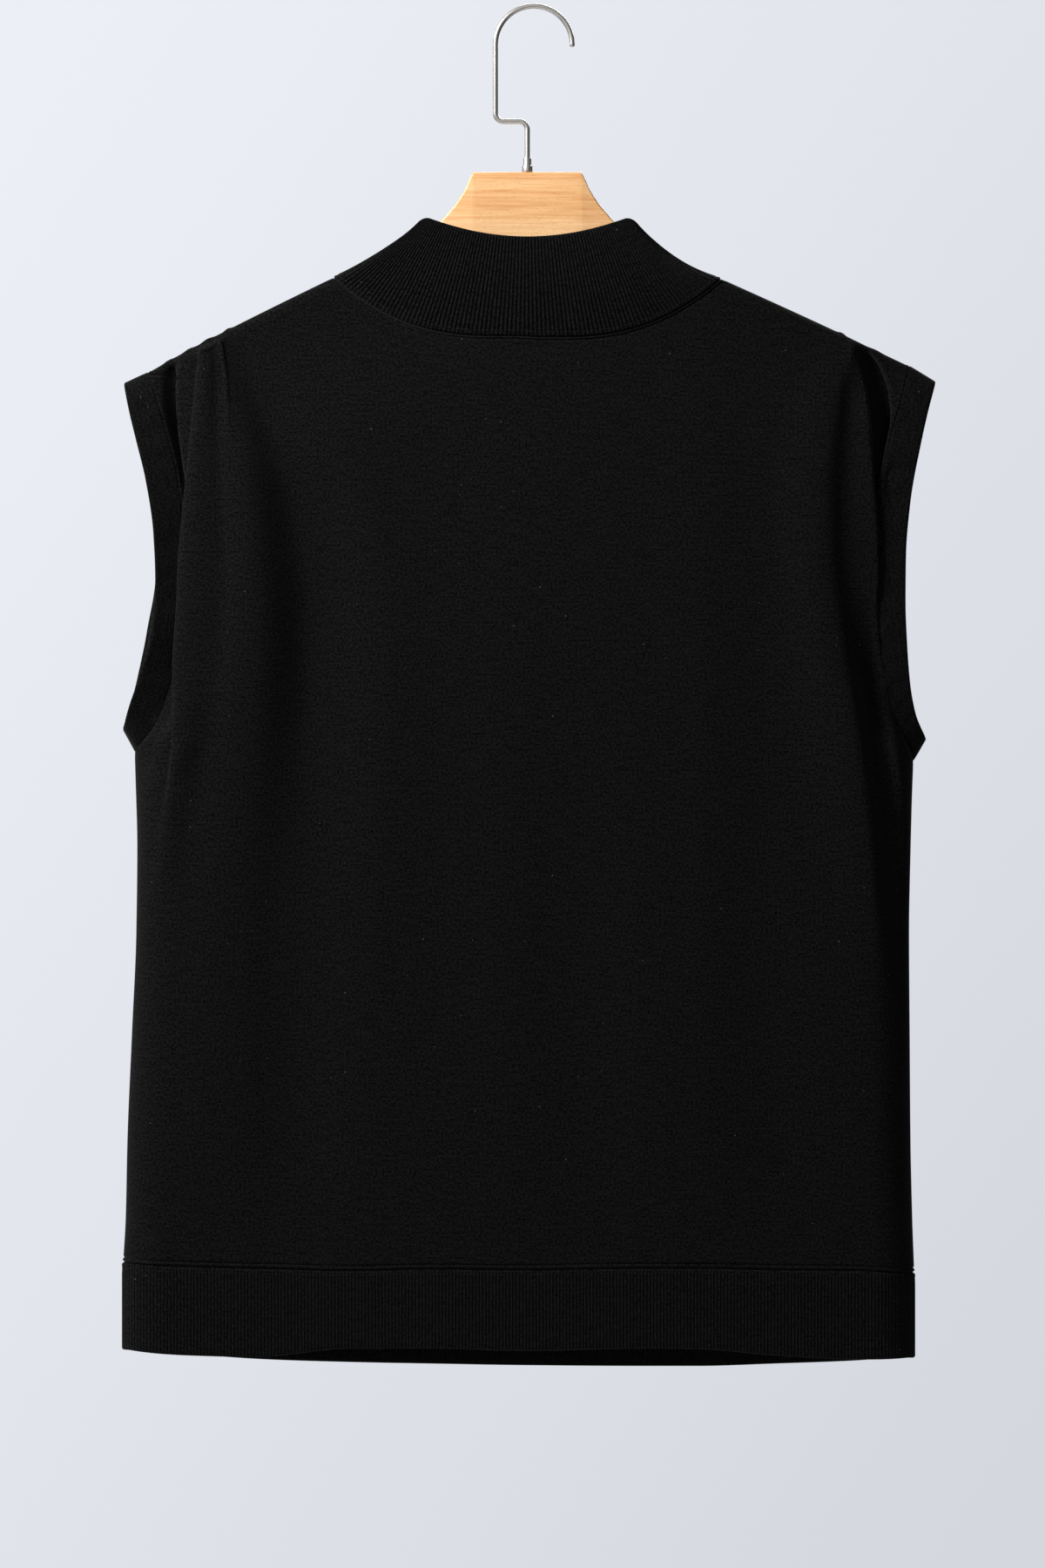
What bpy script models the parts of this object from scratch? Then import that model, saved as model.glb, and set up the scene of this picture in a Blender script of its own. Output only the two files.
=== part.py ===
"""A sleeveless sweatshirt-knit top with cap shoulders, hung on a flat wooden coat hanger.

Frame: the origin is the inner crown of the hook, where a rail holds the hanger. +Z is up, +X is to
the right for someone who looks at the garment's back, and the back faces -Y. The tables and sizes
below are in millimetres and the meshes are made in metres.

In the tables, reach is the distance from the garment's centre line towards one side, height is Z,
and depth is the distance of the cloth from the plane between front and back. Left and right are the
sides as seen from behind, so the left one is at -X.
"""

import math
from collections import namedtuple

import bmesh
import bpy
import numpy as np

MM = 0.001

# Cloth walls and the gap that every seam keeps.
BODY_WALL = 1.5
BAND_WALL = 2.2
COLLAR_WALL = 2.6
HEM_WALL = 2.6
SEAM_GAP = 0.34

# The garment's centre line stands beside the hook's crown.
CENTRE_X = -4.0
LEFT, RIGHT = -1, 1
BACK, FRONT = -1, 1

# Neck: the seam leaves the shoulder line at NECK_REACH and dips in the middle.
NECK_REACH = 120.0
NECK_DIP = {BACK: 36.5, FRONT: 67.0}
NECK_FLAT = 20.0
NECK_BEND = 2.4

# Collar: its top edge is an oval, lower in the middle than at the shoulders.
COLLAR_TOP_REACH = 61.0
COLLAR_TOP_DEPTH = {BACK: 12.0, FRONT: 24.0}
COLLAR_PEAK_HEIGHT = -131.0
COLLAR_TOP_DIP = {BACK: 11.0, FRONT: 41.0}
COLLAR_FAN = 0.71
COLLAR_SAG = 2.5
COLLAR_BOW = 3.0
COLLAR_BOW_BLEND = 5.0
# The oval is |x|^power + |y|^(1/root) = 1: fuller than an ellipse, so that it clears the hanger.
COLLAR_OVAL_POWER = 5.0
COLLAR_OVAL_ROOT = 0.4

# Shoulder: the cloth turns over the hanger with this radius, tighter past the hanger's tip.
CREST_RADIUS = 9.5
CREST_TIP_RADIUS = 5.0
CREST_TIP_FROM = 206.0
CREST_SETTLE = 110.0
# 2 is a round arch over the hanger's edge, and more is a flatter top with closer corners.
CREST_SQUARENESS = 3.0
CREST_ROUNDNESS = 2.0
CREST_ROUND_FROM = 200.0
CREST_TIP_TO = 236.0

# Sides: how far in from a side the cloth turns from the flat to the edge.
SIDE_TURN = 26.0
ARMHOLE_TURN = 46.0
ARMHOLE_GAP = 12.5
ARMHOLE_GAP_SHAPE = 0.35
FRONT_ARMHOLE_BULGE = 4.5
# From this part of the armhole down, its edge turns round to the other panel.
UNDERARM_FROM = 0.8
BAND_DRAW_IN = 0.92

# Hem band: its lower edge is a little narrower in depth, except at the sides.
HEM_DRAW_IN = 0.08
HEM_SIDE_SHARPNESS = 8.0
HEM_SIDE_BLEND = 10.0

# Hanger wood.
WOOD_THICKNESS = 12.0
WOOD_EDGE_RADIUS = 2.0
WOOD_TOP_HEIGHT = -102.0
WOOD_TOP_REACH = 34.6
WOOD_TOP_CORNER = 2.2
WOOD_TOP_CORNER_TURN = 70.0
WOOD_UNDER_CREST = 2.6
WOOD_SLOPE_REACH = 188.0
WOOD_TIP_REACH = 202.0
WOOD_TIP_WIDTH = 24.0
WOOD_BORE = 3.8
WOOD_BORE_DEPTH = 18.0
WOOD_BORE_CLEAR = 1.0

# Hook: one bent wire, a nut at its foot.
WIRE_DIAMETER = 3.2
HOOK_RADIUS = 23.8
HOOK_TIP_ANGLE = -4.0
HOOK_LEG_MIDDLE = -45.0
HOOK_LEG_HEIGHT = -70.0
HOOK_BEND_RADIUS = 5.0
HOOK_STEM_MIDDLE = -90.0
HOOK_STEM_END = -118.0
NUT_DIAMETER = 6.4
NUT_HEIGHT = 9.0
NUT_COLLAR = 4.2
NUT_NECK_DIAMETER = 5.0
NUT_SHOULDER = 0.5

# How finely the cloth is cut into sections.
# Sixths of a quarter turn across half the neck, closer at the shoulder line.
NECK_DIVISIONS = 6
NECK_STEPS = (0, 1, 2, 3, 4, 5, 5.5)
NECK_PARTS = len(NECK_STEPS)
# Twelfths of a half turn down the armhole, closer where the cloth turns over the hanger.
ARMHOLE_STEPS = (0, 0.45, 1, 1.5, 2, 3, 4, 5, 6, 7, 8, 9, 10, 11, 12)
ARMHOLE_PARTS = len(ARMHOLE_STEPS) - 1
SIDE_PARTS = 11
COLLAR_PARTS = 4
BAND_PARTS = 2
HEM_PARTS = 2
# Columns between the neck, the three lines of KEY_LINES and the side.
KEY_PARTS = (3, 2, 2, 3)

# The outline of the shoulders, from the hook outwards.
Crest = namedtuple("Crest", "reach left right")
SHOULDER = (
    Crest(reach=0.0, left=-111.5, right=-112.0),
    Crest(reach=60.0, left=-140.0, right=-140.5),
    Crest(reach=120.0, left=-169.2, right=-169.6),
    Crest(reach=152.0, left=-184.3, right=-184.4),
    Crest(reach=188.0, left=-201.2, right=-200.6),
    Crest(reach=212.0, left=-214.0, right=-212.2),
    Crest(reach=237.5, left=-228.2, right=-226.0),
)

# The armhole seam and the outer edge of its band, from the shoulder down to the underarm.
Armhole = namedtuple("Armhole", "seam_reach seam_height edge_reach edge_height")
ARMHOLES = {
    LEFT: (
        Armhole(seam_reach=235.0, seam_height=-226.9, edge_reach=250.2, edge_height=-236.0),
        Armhole(seam_reach=229.5, seam_height=-244.0, edge_reach=246.3, edge_height=-251.0),
        Armhole(seam_reach=223.7, seam_height=-264.0, edge_reach=241.8, edge_height=-269.0),
        Armhole(seam_reach=217.0, seam_height=-290.0, edge_reach=235.7, edge_height=-294.0),
        Armhole(seam_reach=212.5, seam_height=-325.0, edge_reach=230.9, edge_height=-326.5),
        Armhole(seam_reach=211.5, seam_height=-355.0, edge_reach=229.7, edge_height=-355.0),
        Armhole(seam_reach=214.0, seam_height=-390.0, edge_reach=233.0, edge_height=-387.0),
        Armhole(seam_reach=221.0, seam_height=-420.0, edge_reach=239.7, edge_height=-414.0),
        Armhole(seam_reach=230.0, seam_height=-445.0, edge_reach=246.7, edge_height=-434.0),
        Armhole(seam_reach=243.0, seam_height=-461.0, edge_reach=250.3, edge_height=-447.0),
    ),
    RIGHT: (
        Armhole(seam_reach=236.7, seam_height=-225.6, edge_reach=252.7, edge_height=-233.5),
        Armhole(seam_reach=231.5, seam_height=-244.0, edge_reach=248.3, edge_height=-250.0),
        Armhole(seam_reach=225.3, seam_height=-265.0, edge_reach=244.0, edge_height=-269.0),
        Armhole(seam_reach=218.0, seam_height=-305.0, edge_reach=237.0, edge_height=-307.0),
        Armhole(seam_reach=216.0, seam_height=-340.0, edge_reach=234.2, edge_height=-340.0),
        Armhole(seam_reach=216.5, seam_height=-370.0, edge_reach=233.9, edge_height=-368.0),
        Armhole(seam_reach=219.0, seam_height=-400.0, edge_reach=235.0, edge_height=-397.0),
        Armhole(seam_reach=224.0, seam_height=-430.0, edge_reach=237.0, edge_height=-420.0),
        Armhole(seam_reach=231.0, seam_height=-450.0, edge_reach=240.5, edge_height=-438.0),
        Armhole(seam_reach=238.8, seam_height=-466.0, edge_reach=246.8, edge_height=-452.5),
    ),
}

# The side seams, from the underarm down to the hem seam.
Side = namedtuple("Side", "height left right")
SIDES = (
    Side(height=-480.0, left=242.4, right=238.3),
    Side(height=-520.0, left=241.4, right=237.2),
    Side(height=-573.0, left=242.0, right=236.2),
    Side(height=-638.0, left=244.8, right=236.6),
    Side(height=-702.0, left=247.5, right=237.1),
    Side(height=-751.0, left=248.6, right=238.2),
    Side(height=-781.0, left=250.4, right=239.3),
)

# How far the cloth stands from the middle plane, away from its edges.
Depth = namedtuple("Depth", "height back front")
DEPTHS = (
    Depth(height=-170.0, back=11.0, front=12.0),
    Depth(height=-215.0, back=14.5, front=16.0),
    Depth(height=-300.0, back=18.0, front=21.0),
    Depth(height=-430.0, back=20.0, front=24.0),
    Depth(height=-600.0, back=18.5, front=22.0),
    Depth(height=-781.0, back=16.5, front=18.0),
    Depth(height=-850.0, back=14.0, front=17.0),
)

# The hem seam and the lower edges of the hem band, from left to right.
Hem = namedtuple("Hem", "across seam back_edge front_edge")
HEM = (
    Hem(across=-250.4, seam=-777.5, back_edge=-831.0, front_edge=-833.0),
    Hem(across=-209.0, seam=-779.0, back_edge=-834.0, front_edge=-837.0),
    Hem(across=-168.0, seam=-780.0, back_edge=-835.0, front_edge=-840.0),
    Hem(across=-109.0, seam=-781.5, back_edge=-829.5, front_edge=-842.0),
    Hem(across=-60.0, seam=-780.5, back_edge=-829.5, front_edge=-843.0),
    Hem(across=0.0, seam=-781.0, back_edge=-831.0, front_edge=-844.0),
    Hem(across=73.0, seam=-780.0, back_edge=-829.5, front_edge=-844.5),
    Hem(across=107.0, seam=-780.0, back_edge=-830.0, front_edge=-844.5),
    Hem(across=154.0, seam=-781.0, back_edge=-834.0, front_edge=-843.0),
    Hem(across=205.0, seam=-781.5, back_edge=-836.5, front_edge=-841.0),
    Hem(across=239.3, seam=-784.0, back_edge=-836.0, front_edge=-838.0),
)

# Lines down the panel that the folds follow: the shallow trough, the pleat and the deep fold.
KeyLine = namedtuple("KeyLine", "height trough pleat fold")
KEY_LINES = {
    LEFT: (
        KeyLine(height=-200.0, trough=168.0, pleat=189.5, fold=202.0),
        KeyLine(height=-226.0, trough=167.0, pleat=184.5, fold=201.5),
        KeyLine(height=-264.0, trough=161.0, pleat=181.0, fold=201.5),
        KeyLine(height=-312.0, trough=153.0, pleat=177.0, fold=200.5),
        KeyLine(height=-355.0, trough=148.0, pleat=175.0, fold=200.0),
        KeyLine(height=-394.0, trough=147.0, pleat=176.0, fold=203.5),
        KeyLine(height=-460.0, trough=153.0, pleat=183.0, fold=211.0),
        KeyLine(height=-521.0, trough=158.0, pleat=190.0, fold=221.0),
        KeyLine(height=-600.0, trough=163.0, pleat=196.0, fold=229.0),
        KeyLine(height=-781.0, trough=168.0, pleat=203.0, fold=236.0),
    ),
    RIGHT: (
        KeyLine(height=-200.0, trough=174.0, pleat=197.0, fold=210.0),
        KeyLine(height=-219.0, trough=178.0, pleat=200.5, fold=210.5),
        KeyLine(height=-262.0, trough=176.0, pleat=195.0, fold=209.0),
        KeyLine(height=-322.0, trough=174.0, pleat=192.0, fold=206.0),
        KeyLine(height=-382.0, trough=184.0, pleat=199.0, fold=207.5),
        KeyLine(height=-421.0, trough=193.0, pleat=202.0, fold=214.0),
        KeyLine(height=-466.0, trough=200.0, pleat=215.0, fold=226.0),
        KeyLine(height=-521.0, trough=208.0, pleat=221.0, fold=230.0),
        KeyLine(height=-600.0, trough=214.0, pleat=225.0, fold=231.5),
        KeyLine(height=-781.0, trough=212.0, pleat=224.0, fold=232.5),
    ),
}

# Each fold is a ridge or trough: rise lifts the cloth off the panel, lean pushes it over outwards,
# and inner and outer are the widths of its two slopes.
Fold = namedtuple("Fold", "height reach rise lean inner outer")
FOLDS = {
    LEFT: {
        "shallow_trough": (
            Fold(height=-212.0, reach=168.0, rise=0.0, lean=0.0, inner=20.0, outer=16.0),
            Fold(height=-240.0, reach=165.0, rise=-2.4, lean=0.0, inner=26.0, outer=18.0),
            Fold(height=-312.0, reach=153.0, rise=-4.2, lean=0.0, inner=38.0, outer=24.0),
            Fold(height=-382.0, reach=146.5, rise=-4.6, lean=0.0, inner=44.0, outer=28.0),
            Fold(height=-467.0, reach=153.5, rise=-2.4, lean=0.0, inner=44.0, outer=30.0),
            Fold(height=-560.0, reach=160.0, rise=0.0, lean=0.0, inner=44.0, outer=30.0),
        ),
        "knife_pleat": (
            Fold(height=-200.0, reach=189.5, rise=2.4, lean=2.0, inner=18.0, outer=4.0),
            Fold(height=-215.0, reach=186.0, rise=4.0, lean=3.0, inner=18.0, outer=5.0),
            Fold(height=-237.0, reach=183.0, rise=2.6, lean=1.8, inner=16.0, outer=7.0),
            Fold(height=-275.0, reach=181.0, rise=0.0, lean=0.0, inner=16.0, outer=12.0),
        ),
        "deep_fold": (
            Fold(height=-206.0, reach=202.0, rise=2.4, lean=2.0, inner=14.0, outer=6.0),
            Fold(height=-226.0, reach=201.5, rise=6.0, lean=4.0, inner=22.0, outer=9.0),
            Fold(height=-264.0, reach=201.5, rise=8.0, lean=8.0, inner=34.0, outer=11.0),
            Fold(height=-314.0, reach=200.5, rise=8.5, lean=14.0, inner=40.0, outer=8.0),
            Fold(height=-355.0, reach=200.0, rise=8.5, lean=17.5, inner=44.0, outer=7.5),
            Fold(height=-394.0, reach=203.5, rise=7.5, lean=16.5, inner=44.0, outer=7.5),
            Fold(height=-460.0, reach=211.0, rise=5.0, lean=9.0, inner=40.0, outer=14.0),
            Fold(height=-521.0, reach=221.0, rise=2.2, lean=4.5, inner=34.0, outer=14.0),
            Fold(height=-560.0, reach=226.0, rise=0.0, lean=0.0, inner=28.0, outer=12.0),
        ),
    },
    RIGHT: {
        "lit_ridge": (
            Fold(height=-340.0, reach=178.0, rise=0.0, lean=0.0, inner=34.0, outer=14.0),
            Fold(height=-394.0, reach=187.0, rise=2.4, lean=0.0, inner=36.0, outer=14.0),
            Fold(height=-451.0, reach=197.0, rise=3.6, lean=0.0, inner=36.0, outer=17.0),
            Fold(height=-521.0, reach=208.0, rise=2.8, lean=0.0, inner=34.0, outer=16.0),
            Fold(height=-612.0, reach=219.0, rise=0.0, lean=0.0, inner=28.0, outer=12.0),
        ),
        "pleat_trough": (
            Fold(height=-210.0, reach=200.0, rise=-0.8, lean=0.0, inner=6.0, outer=6.0),
            Fold(height=-240.0, reach=199.0, rise=-5.5, lean=0.0, inner=13.0, outer=9.0),
            Fold(height=-300.0, reach=192.5, rise=-7.0, lean=0.0, inner=20.0, outer=14.0),
            Fold(height=-346.0, reach=195.0, rise=-6.5, lean=0.0, inner=22.0, outer=13.0),
            Fold(height=-400.0, reach=202.0, rise=-5.5, lean=0.0, inner=18.0, outer=10.0),
            Fold(height=-466.0, reach=215.0, rise=-3.6, lean=0.0, inner=14.0, outer=9.0),
            Fold(height=-540.0, reach=224.0, rise=0.0, lean=0.0, inner=12.0, outer=8.0),
        ),
        "deep_fold": (
            Fold(height=-206.0, reach=210.0, rise=1.5, lean=0.5, inner=10.0, outer=6.0),
            Fold(height=-234.0, reach=210.5, rise=4.0, lean=2.0, inner=12.0, outer=9.0),
            Fold(height=-267.0, reach=209.0, rise=5.5, lean=6.5, inner=15.0, outer=9.0),
            Fold(height=-329.0, reach=206.0, rise=5.0, lean=12.0, inner=15.0, outer=6.5),
            Fold(height=-382.0, reach=207.5, rise=4.0, lean=8.5, inner=12.0, outer=6.5),
            Fold(height=-430.0, reach=216.0, rise=0.0, lean=0.0, inner=12.0, outer=8.0),
        ),
    },
}
SEAM_FADE = 5.0
CREST_FADE = 8.0
FRONT_FOLD_SHARE = 0.8

# The upper edge of the hanger's wood beside its neck, and its lower edge.
WoodEdge = namedtuple("WoodEdge", "reach height")
WOOD_NECK = (
    WoodEdge(reach=38.5, height=-112.5),
    WoodEdge(reach=43.8, height=-121.0),
    WoodEdge(reach=52.2, height=-131.0),
    WoodEdge(reach=62.0, height=-140.2),
    WoodEdge(reach=80.0, height=-152.0),
    WoodEdge(reach=100.0, height=-163.2),
)
WOOD_UNDERSIDE = (
    WoodEdge(reach=172.0, height=-225.5),
    WoodEdge(reach=140.0, height=-211.0),
    WoodEdge(reach=105.0, height=-196.0),
    WoodEdge(reach=70.0, height=-178.5),
    WoodEdge(reach=38.0, height=-165.0),
    WoodEdge(reach=0.0, height=-158.0),
)
WOOD_TIP_STEPS = 6
WOOD_ARM_STEPS = 4
WOOD_CORNER_STEPS = 2
WOOD_EDGE_SEGMENTS = 4
WOOD_EDGE_ANGLE = math.radians(60.0)
BORE_SIDES = 16
HOOK_CROWN_STEPS = 22
HOOK_BEND_STEPS = 5
HOOK_BEVEL_RESOLUTION = 3
NUT_SIDES = 20

# Finishes: colour in linear light, roughness and metallic value.
Finish = namedtuple("Finish", "colour roughness metallic")
FINISHES = {
    "black_jersey": Finish(colour=(0.006, 0.006, 0.006), roughness=0.9, metallic=0.0),
    "black_rib_knit": Finish(colour=(0.005, 0.005, 0.005), roughness=0.92, metallic=0.0),
    "varnished_beech": Finish(colour=(0.84, 0.49, 0.22), roughness=0.4, metallic=0.0),
    "nickelled_wire": Finish(colour=(0.62, 0.60, 0.57), roughness=0.28, metallic=1.0),
}
SHARP_ANGLE = math.radians(40.0)
# Lengths under this are nothing, in millimetres as in metres.
TINY = 1e-6


def smooth_curve(at, places, values):
    """A monotone cubic through the table's points, level past both ends. Places may rise or fall."""
    places, values = np.asarray(places, float), np.asarray(values, float)
    at = np.asarray(at, float)
    if places[0] > places[-1]:
        places, values = places[::-1], values[::-1]
    steps = np.diff(places)
    slopes = np.diff(values) / steps
    tangents = np.zeros_like(values)
    tangents[0], tangents[-1] = slopes[0], slopes[-1]
    for k in range(1, len(values) - 1):
        before, after = slopes[k - 1], slopes[k]
        if before * after > 0:
            near, far = 2 * steps[k] + steps[k - 1], steps[k] + 2 * steps[k - 1]
            tangents[k] = (near + far) / (near / before + far / after)
    inside = np.clip(at, places[0], places[-1])
    span = np.clip(np.searchsorted(places, inside) - 1, 0, len(steps) - 1)
    part = (inside - places[span]) / steps[span]
    start = (1 + 2 * part) * (1 - part) ** 2 * values[span]
    start = start + part * (1 - part) ** 2 * steps[span] * tangents[span]
    end = part**2 * (3 - 2 * part) * values[span + 1]
    return start + end + part**2 * (part - 1) * steps[span] * tangents[span + 1]


def column(rows, name):
    return [getattr(row, name) for row in rows]


def ease(part):
    """0 at 0 and below, 1 at 1 and above, level at both."""
    part = np.clip(part, 0.0, 1.0)
    return part * part * (3 - 2 * part)


def unit(vectors):
    return vectors / np.linalg.norm(vectors, axis=-1, keepdims=True)


def side_name(side):
    return "left" if side == LEFT else "right"


def crest_height(side, reach):
    return smooth_curve(reach, column(SHOULDER, "reach"), column(SHOULDER, side_name(side)))


def neck_height(side, face, reach):
    """The neck seam: level in the middle, climbing to the shoulder line."""
    climb = np.clip((np.abs(reach) - NECK_FLAT) / (NECK_REACH - NECK_FLAT), 0.0, 1.0) ** NECK_BEND
    return crest_height(side, NECK_REACH) - NECK_DIP[face] * (1 - climb)


def armhole_at(side, part):
    """Seam reach and height, then edge reach and height, part of the way down the armhole."""
    rows = ARMHOLES[side]
    reach, height = column(rows, "seam_reach"), column(rows, "seam_height")
    run = np.concatenate([[0.0], np.cumsum(np.hypot(np.diff(reach), np.diff(height)))])
    return [smooth_curve(part, run / run[-1], column(rows, name)) for name in Armhole._fields]


def armhole_turns():
    """Parts of the way down the armhole at which the cloth has its sections."""
    return 0.5 * (1 - np.cos(math.pi * np.array(ARMHOLE_STEPS) / ARMHOLE_STEPS[-1]))


def armhole_gap(part):
    """Half the space between the front and back edges, closed at the shoulder and underarm."""
    return ARMHOLE_GAP * np.clip(4 * part * (1 - part), 0.0, 1.0) ** ARMHOLE_GAP_SHAPE


def side_reach(side, height):
    underarm = ARMHOLES[side][-1]
    heights = [underarm.seam_height] + column(SIDES, "height")
    return smooth_curve(height, heights, [underarm.seam_reach] + column(SIDES, side_name(side)))


def hem_height(across, name):
    return smooth_curve(across, column(HEM, "across"), column(HEM, name))


def body_depth(face, height):
    depths = column(DEPTHS, "back" if face == BACK else "front")
    return smooth_curve(height, column(DEPTHS, "height"), depths)


def crest_depth(side, face, reach, height):
    """Depth of the cloth below the shoulder line: over the hanger's edge, then easing to the body."""
    to_tip = ease((reach - CREST_TIP_FROM) / (CREST_TIP_TO - CREST_TIP_FROM))
    radius = CREST_RADIUS + (CREST_TIP_RADIUS - CREST_RADIUS) * to_tip
    to_round = ease((reach - CREST_ROUND_FROM) / (CREST_TIP_TO - CREST_ROUND_FROM))
    power = CREST_SQUARENESS + (CREST_ROUNDNESS - CREST_SQUARENESS) * to_round
    below = np.maximum(crest_height(side, reach) - height, 0.0)
    turn = radius * (1 - (1 - np.clip(below / radius, 0.0, 1.0)) ** power) ** (1 / power)
    rest = np.maximum(body_depth(face, height) - radius, 0.0)
    return turn + rest * ease(below / CREST_SETTLE)


def add_folds(side, face, reach, height, depth, to_edge):
    """Moves cloth at reach and depth over the folds of this side. Hidden folds are a little less."""
    share = 1.0 if face == BACK else FRONT_FOLD_SHARE
    below = np.maximum(crest_height(side, reach) - height, 0.0)
    fade = share * ease(to_edge / SEAM_FADE) * ease(below / CREST_FADE)
    moved_reach, moved_depth = reach.copy(), depth.copy()
    for rows in FOLDS[side].values():
        heights = column(rows, "height")
        line, rise, lean, inner, outer = (
            smooth_curve(height, heights, column(rows, name)) for name in Fold._fields[1:]
        )
        offset = reach - line
        width = np.where(offset < 0, inner, outer)
        swell = fade * np.cos(0.5 * math.pi * np.clip(np.abs(offset) / width, 0.0, 1.0)) ** 2
        moved_reach = moved_reach + lean * swell
        moved_depth = moved_depth + rise * swell
    return moved_reach, moved_depth


def key_columns(side, height_at_row, edge, scale):
    """Reach of each column of one half panel, row by row, from the centre to the side."""
    neck = np.full_like(edge, NECK_REACH)
    rows = KEY_LINES[side]
    lines = [neck]
    for name in KeyLine._fields[1:]:
        top = crest_height(side, getattr(rows[0], name))
        heights = top + (hem_height(0.0, "seam") - top) * height_at_row
        lines.append(scale * smooth_curve(heights, column(rows, "height"), column(rows, name)))
    lines.append(edge)
    columns = [neck * math.sin(0.5 * math.pi * step / NECK_DIVISIONS) for step in NECK_STEPS]
    for parts, inner, outer in zip(KEY_PARTS, lines[:-1], lines[1:]):
        columns += [inner + (outer - inner) * k / parts for k in range(parts)]
    return np.stack(columns + [edge], axis=1)


def half_panel(side, face):
    """Rows of points of one half of a panel, from the centre line to the side."""
    turns = armhole_turns()
    edge, edge_height, _, _ = armhole_at(side, turns)
    back_edge = edge.copy()
    if face == FRONT:
        edge = edge + FRONT_ARMHOLE_BULGE * np.sin(math.pi * turns) ** 2
    hem_end = column(HEM, "seam")[0 if side == LEFT else -1]
    side_heights = np.linspace(edge_height[-1], hem_end, SIDE_PARTS + 1)[1:]
    below = side_reach(side, side_heights)
    gap = np.concatenate([armhole_gap(turns), np.zeros(SIDE_PARTS)])
    # 1 along the armhole and 0 along the side seam, where the cloth turns round to the other panel.
    closing = ease((turns - UNDERARM_FROM) / (1 - UNDERARM_FROM))
    open_edge = np.concatenate([1 - closing, np.zeros(SIDE_PARTS)])
    scale = np.concatenate([edge / back_edge, np.ones(SIDE_PARTS)])
    edge = np.concatenate([edge, below])
    edge_height = np.concatenate([edge_height, side_heights])
    fall = (edge_height - edge_height[0]) / (edge_height[-1] - edge_height[0])

    reach = key_columns(side, fall, edge, scale)
    neck_top = neck_height(side, face, reach[0])
    top = np.where(reach[0] < NECK_REACH - TINY, neck_top, crest_height(side, reach[0]))
    bottom = hem_height(side * reach[-1], "seam")
    height = top[None, :] + (bottom - top)[None, :] * fall[:, None]
    height[:, -1] = edge_height

    to_edge = edge[:, None] - reach
    turn = SIDE_TURN + (ARMHOLE_TURN - SIDE_TURN) * open_edge[:, None]
    power = 0.5 + 0.5 * open_edge[:, None]
    round_off = (1 - (1 - np.clip(to_edge / turn, 0.0, 1.0)) ** 2) ** power
    depth = crest_depth(side, face, reach, height)
    depth = gap[:, None] + (depth - gap[:, None]) * round_off
    shoulder = reach[0] >= NECK_REACH - TINY
    depth[0, shoulder] = 0.0
    reach, depth = add_folds(side, face, reach, height, depth, to_edge)
    return np.stack([CENTRE_X + side * reach, face * depth, height], axis=-1)


def panel_points(face):
    """Rows of points of a whole panel, from left to right."""
    left, right = half_panel(LEFT, face), half_panel(RIGHT, face)
    left[:, 0] = right[:, 0] = 0.5 * (left[:, 0] + right[:, 0])
    return np.concatenate([left[:, :0:-1], right], axis=1)


def grid_normals(points, wrap):
    """Normals of a grid, from its rows and columns. Wrap joins the last column to the first."""
    along = np.gradient(points, axis=0)
    if wrap:
        across = np.roll(points, -1, axis=1) - np.roll(points, 1, axis=1)
    else:
        across = np.gradient(points, axis=1)
    return unit(np.cross(across, along))


def ring_frame(seam, following, outwards):
    """For each point of a closed seam: the way off the panel, and the way out of the cloth."""
    along = unit(np.roll(seam, -1, axis=0) - np.roll(seam, 1, axis=0))
    middle = np.abs(seam[:, 1]) < TINY
    along[middle] = (0.0, 1.0, 0.0) * np.sign(along[middle][:, 1:2])
    away = following - seam
    away = unit(away - along * np.sum(away * along, axis=1, keepdims=True))
    out = np.cross(along, away)
    flip = np.where(np.sum(out * outwards, axis=1, keepdims=True) < 0, -1.0, 1.0)
    return away, out * flip


def new_object(name, mesh, finish):
    material = bpy.data.materials.get(finish) or bpy.data.materials.new(finish)
    look = FINISHES[finish]
    material.use_nodes = True
    shader = material.node_tree.nodes["Principled BSDF"]
    shader.inputs["Base Color"].default_value = (*look.colour, 1.0)
    shader.inputs["Roughness"].default_value = look.roughness
    shader.inputs["Metallic"].default_value = look.metallic
    mesh.materials.append(material)
    new = bpy.data.objects.new(name, mesh)
    bpy.context.scene.collection.objects.link(new)
    return new


def wall_object(name, finish, outer, inner, wrap):
    """A closed cloth wall between two grids of points, with rims along its open edges."""
    shape = bmesh.new()
    sheets = [
        [[shape.verts.new(point * MM) for point in row] for row in sheet] for sheet in (outer, inner)
    ]
    rows, columns = outer.shape[:2]
    spans = columns if wrap else columns - 1
    for i in range(rows - 1):
        for k in range(spans):
            after = (k + 1) % columns
            top, low = sheets[0][i], sheets[0][i + 1]
            shape.faces.new((top[k], low[k], low[after], top[after]))
            top, low = sheets[1][i], sheets[1][i + 1]
            shape.faces.new((top[k], top[after], low[after], low[k]))
    for i, flip in ((0, False), (rows - 1, True)):
        for k in range(spans):
            after = (k + 1) % columns
            rim = (sheets[0][i][k], sheets[0][i][after], sheets[1][i][after], sheets[1][i][k])
            shape.faces.new(rim[::-1] if flip else rim)
    if not wrap:
        for k, flip in ((0, True), (columns - 1, False)):
            for i in range(rows - 1):
                rim = (sheets[0][i][k], sheets[0][i + 1][k], sheets[1][i + 1][k], sheets[1][i][k])
                shape.faces.new(rim if flip else rim[::-1])
    bmesh.ops.recalc_face_normals(shape, faces=shape.faces)
    bmesh.ops.triangulate(shape, faces=shape.faces)
    mesh = bpy.data.meshes.new(name)
    shape.to_mesh(mesh)
    shape.free()
    mesh.shade_smooth()
    mesh.set_sharp_from_angle(angle=SHARP_ANGLE)
    return new_object(name, mesh, finish)


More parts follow.
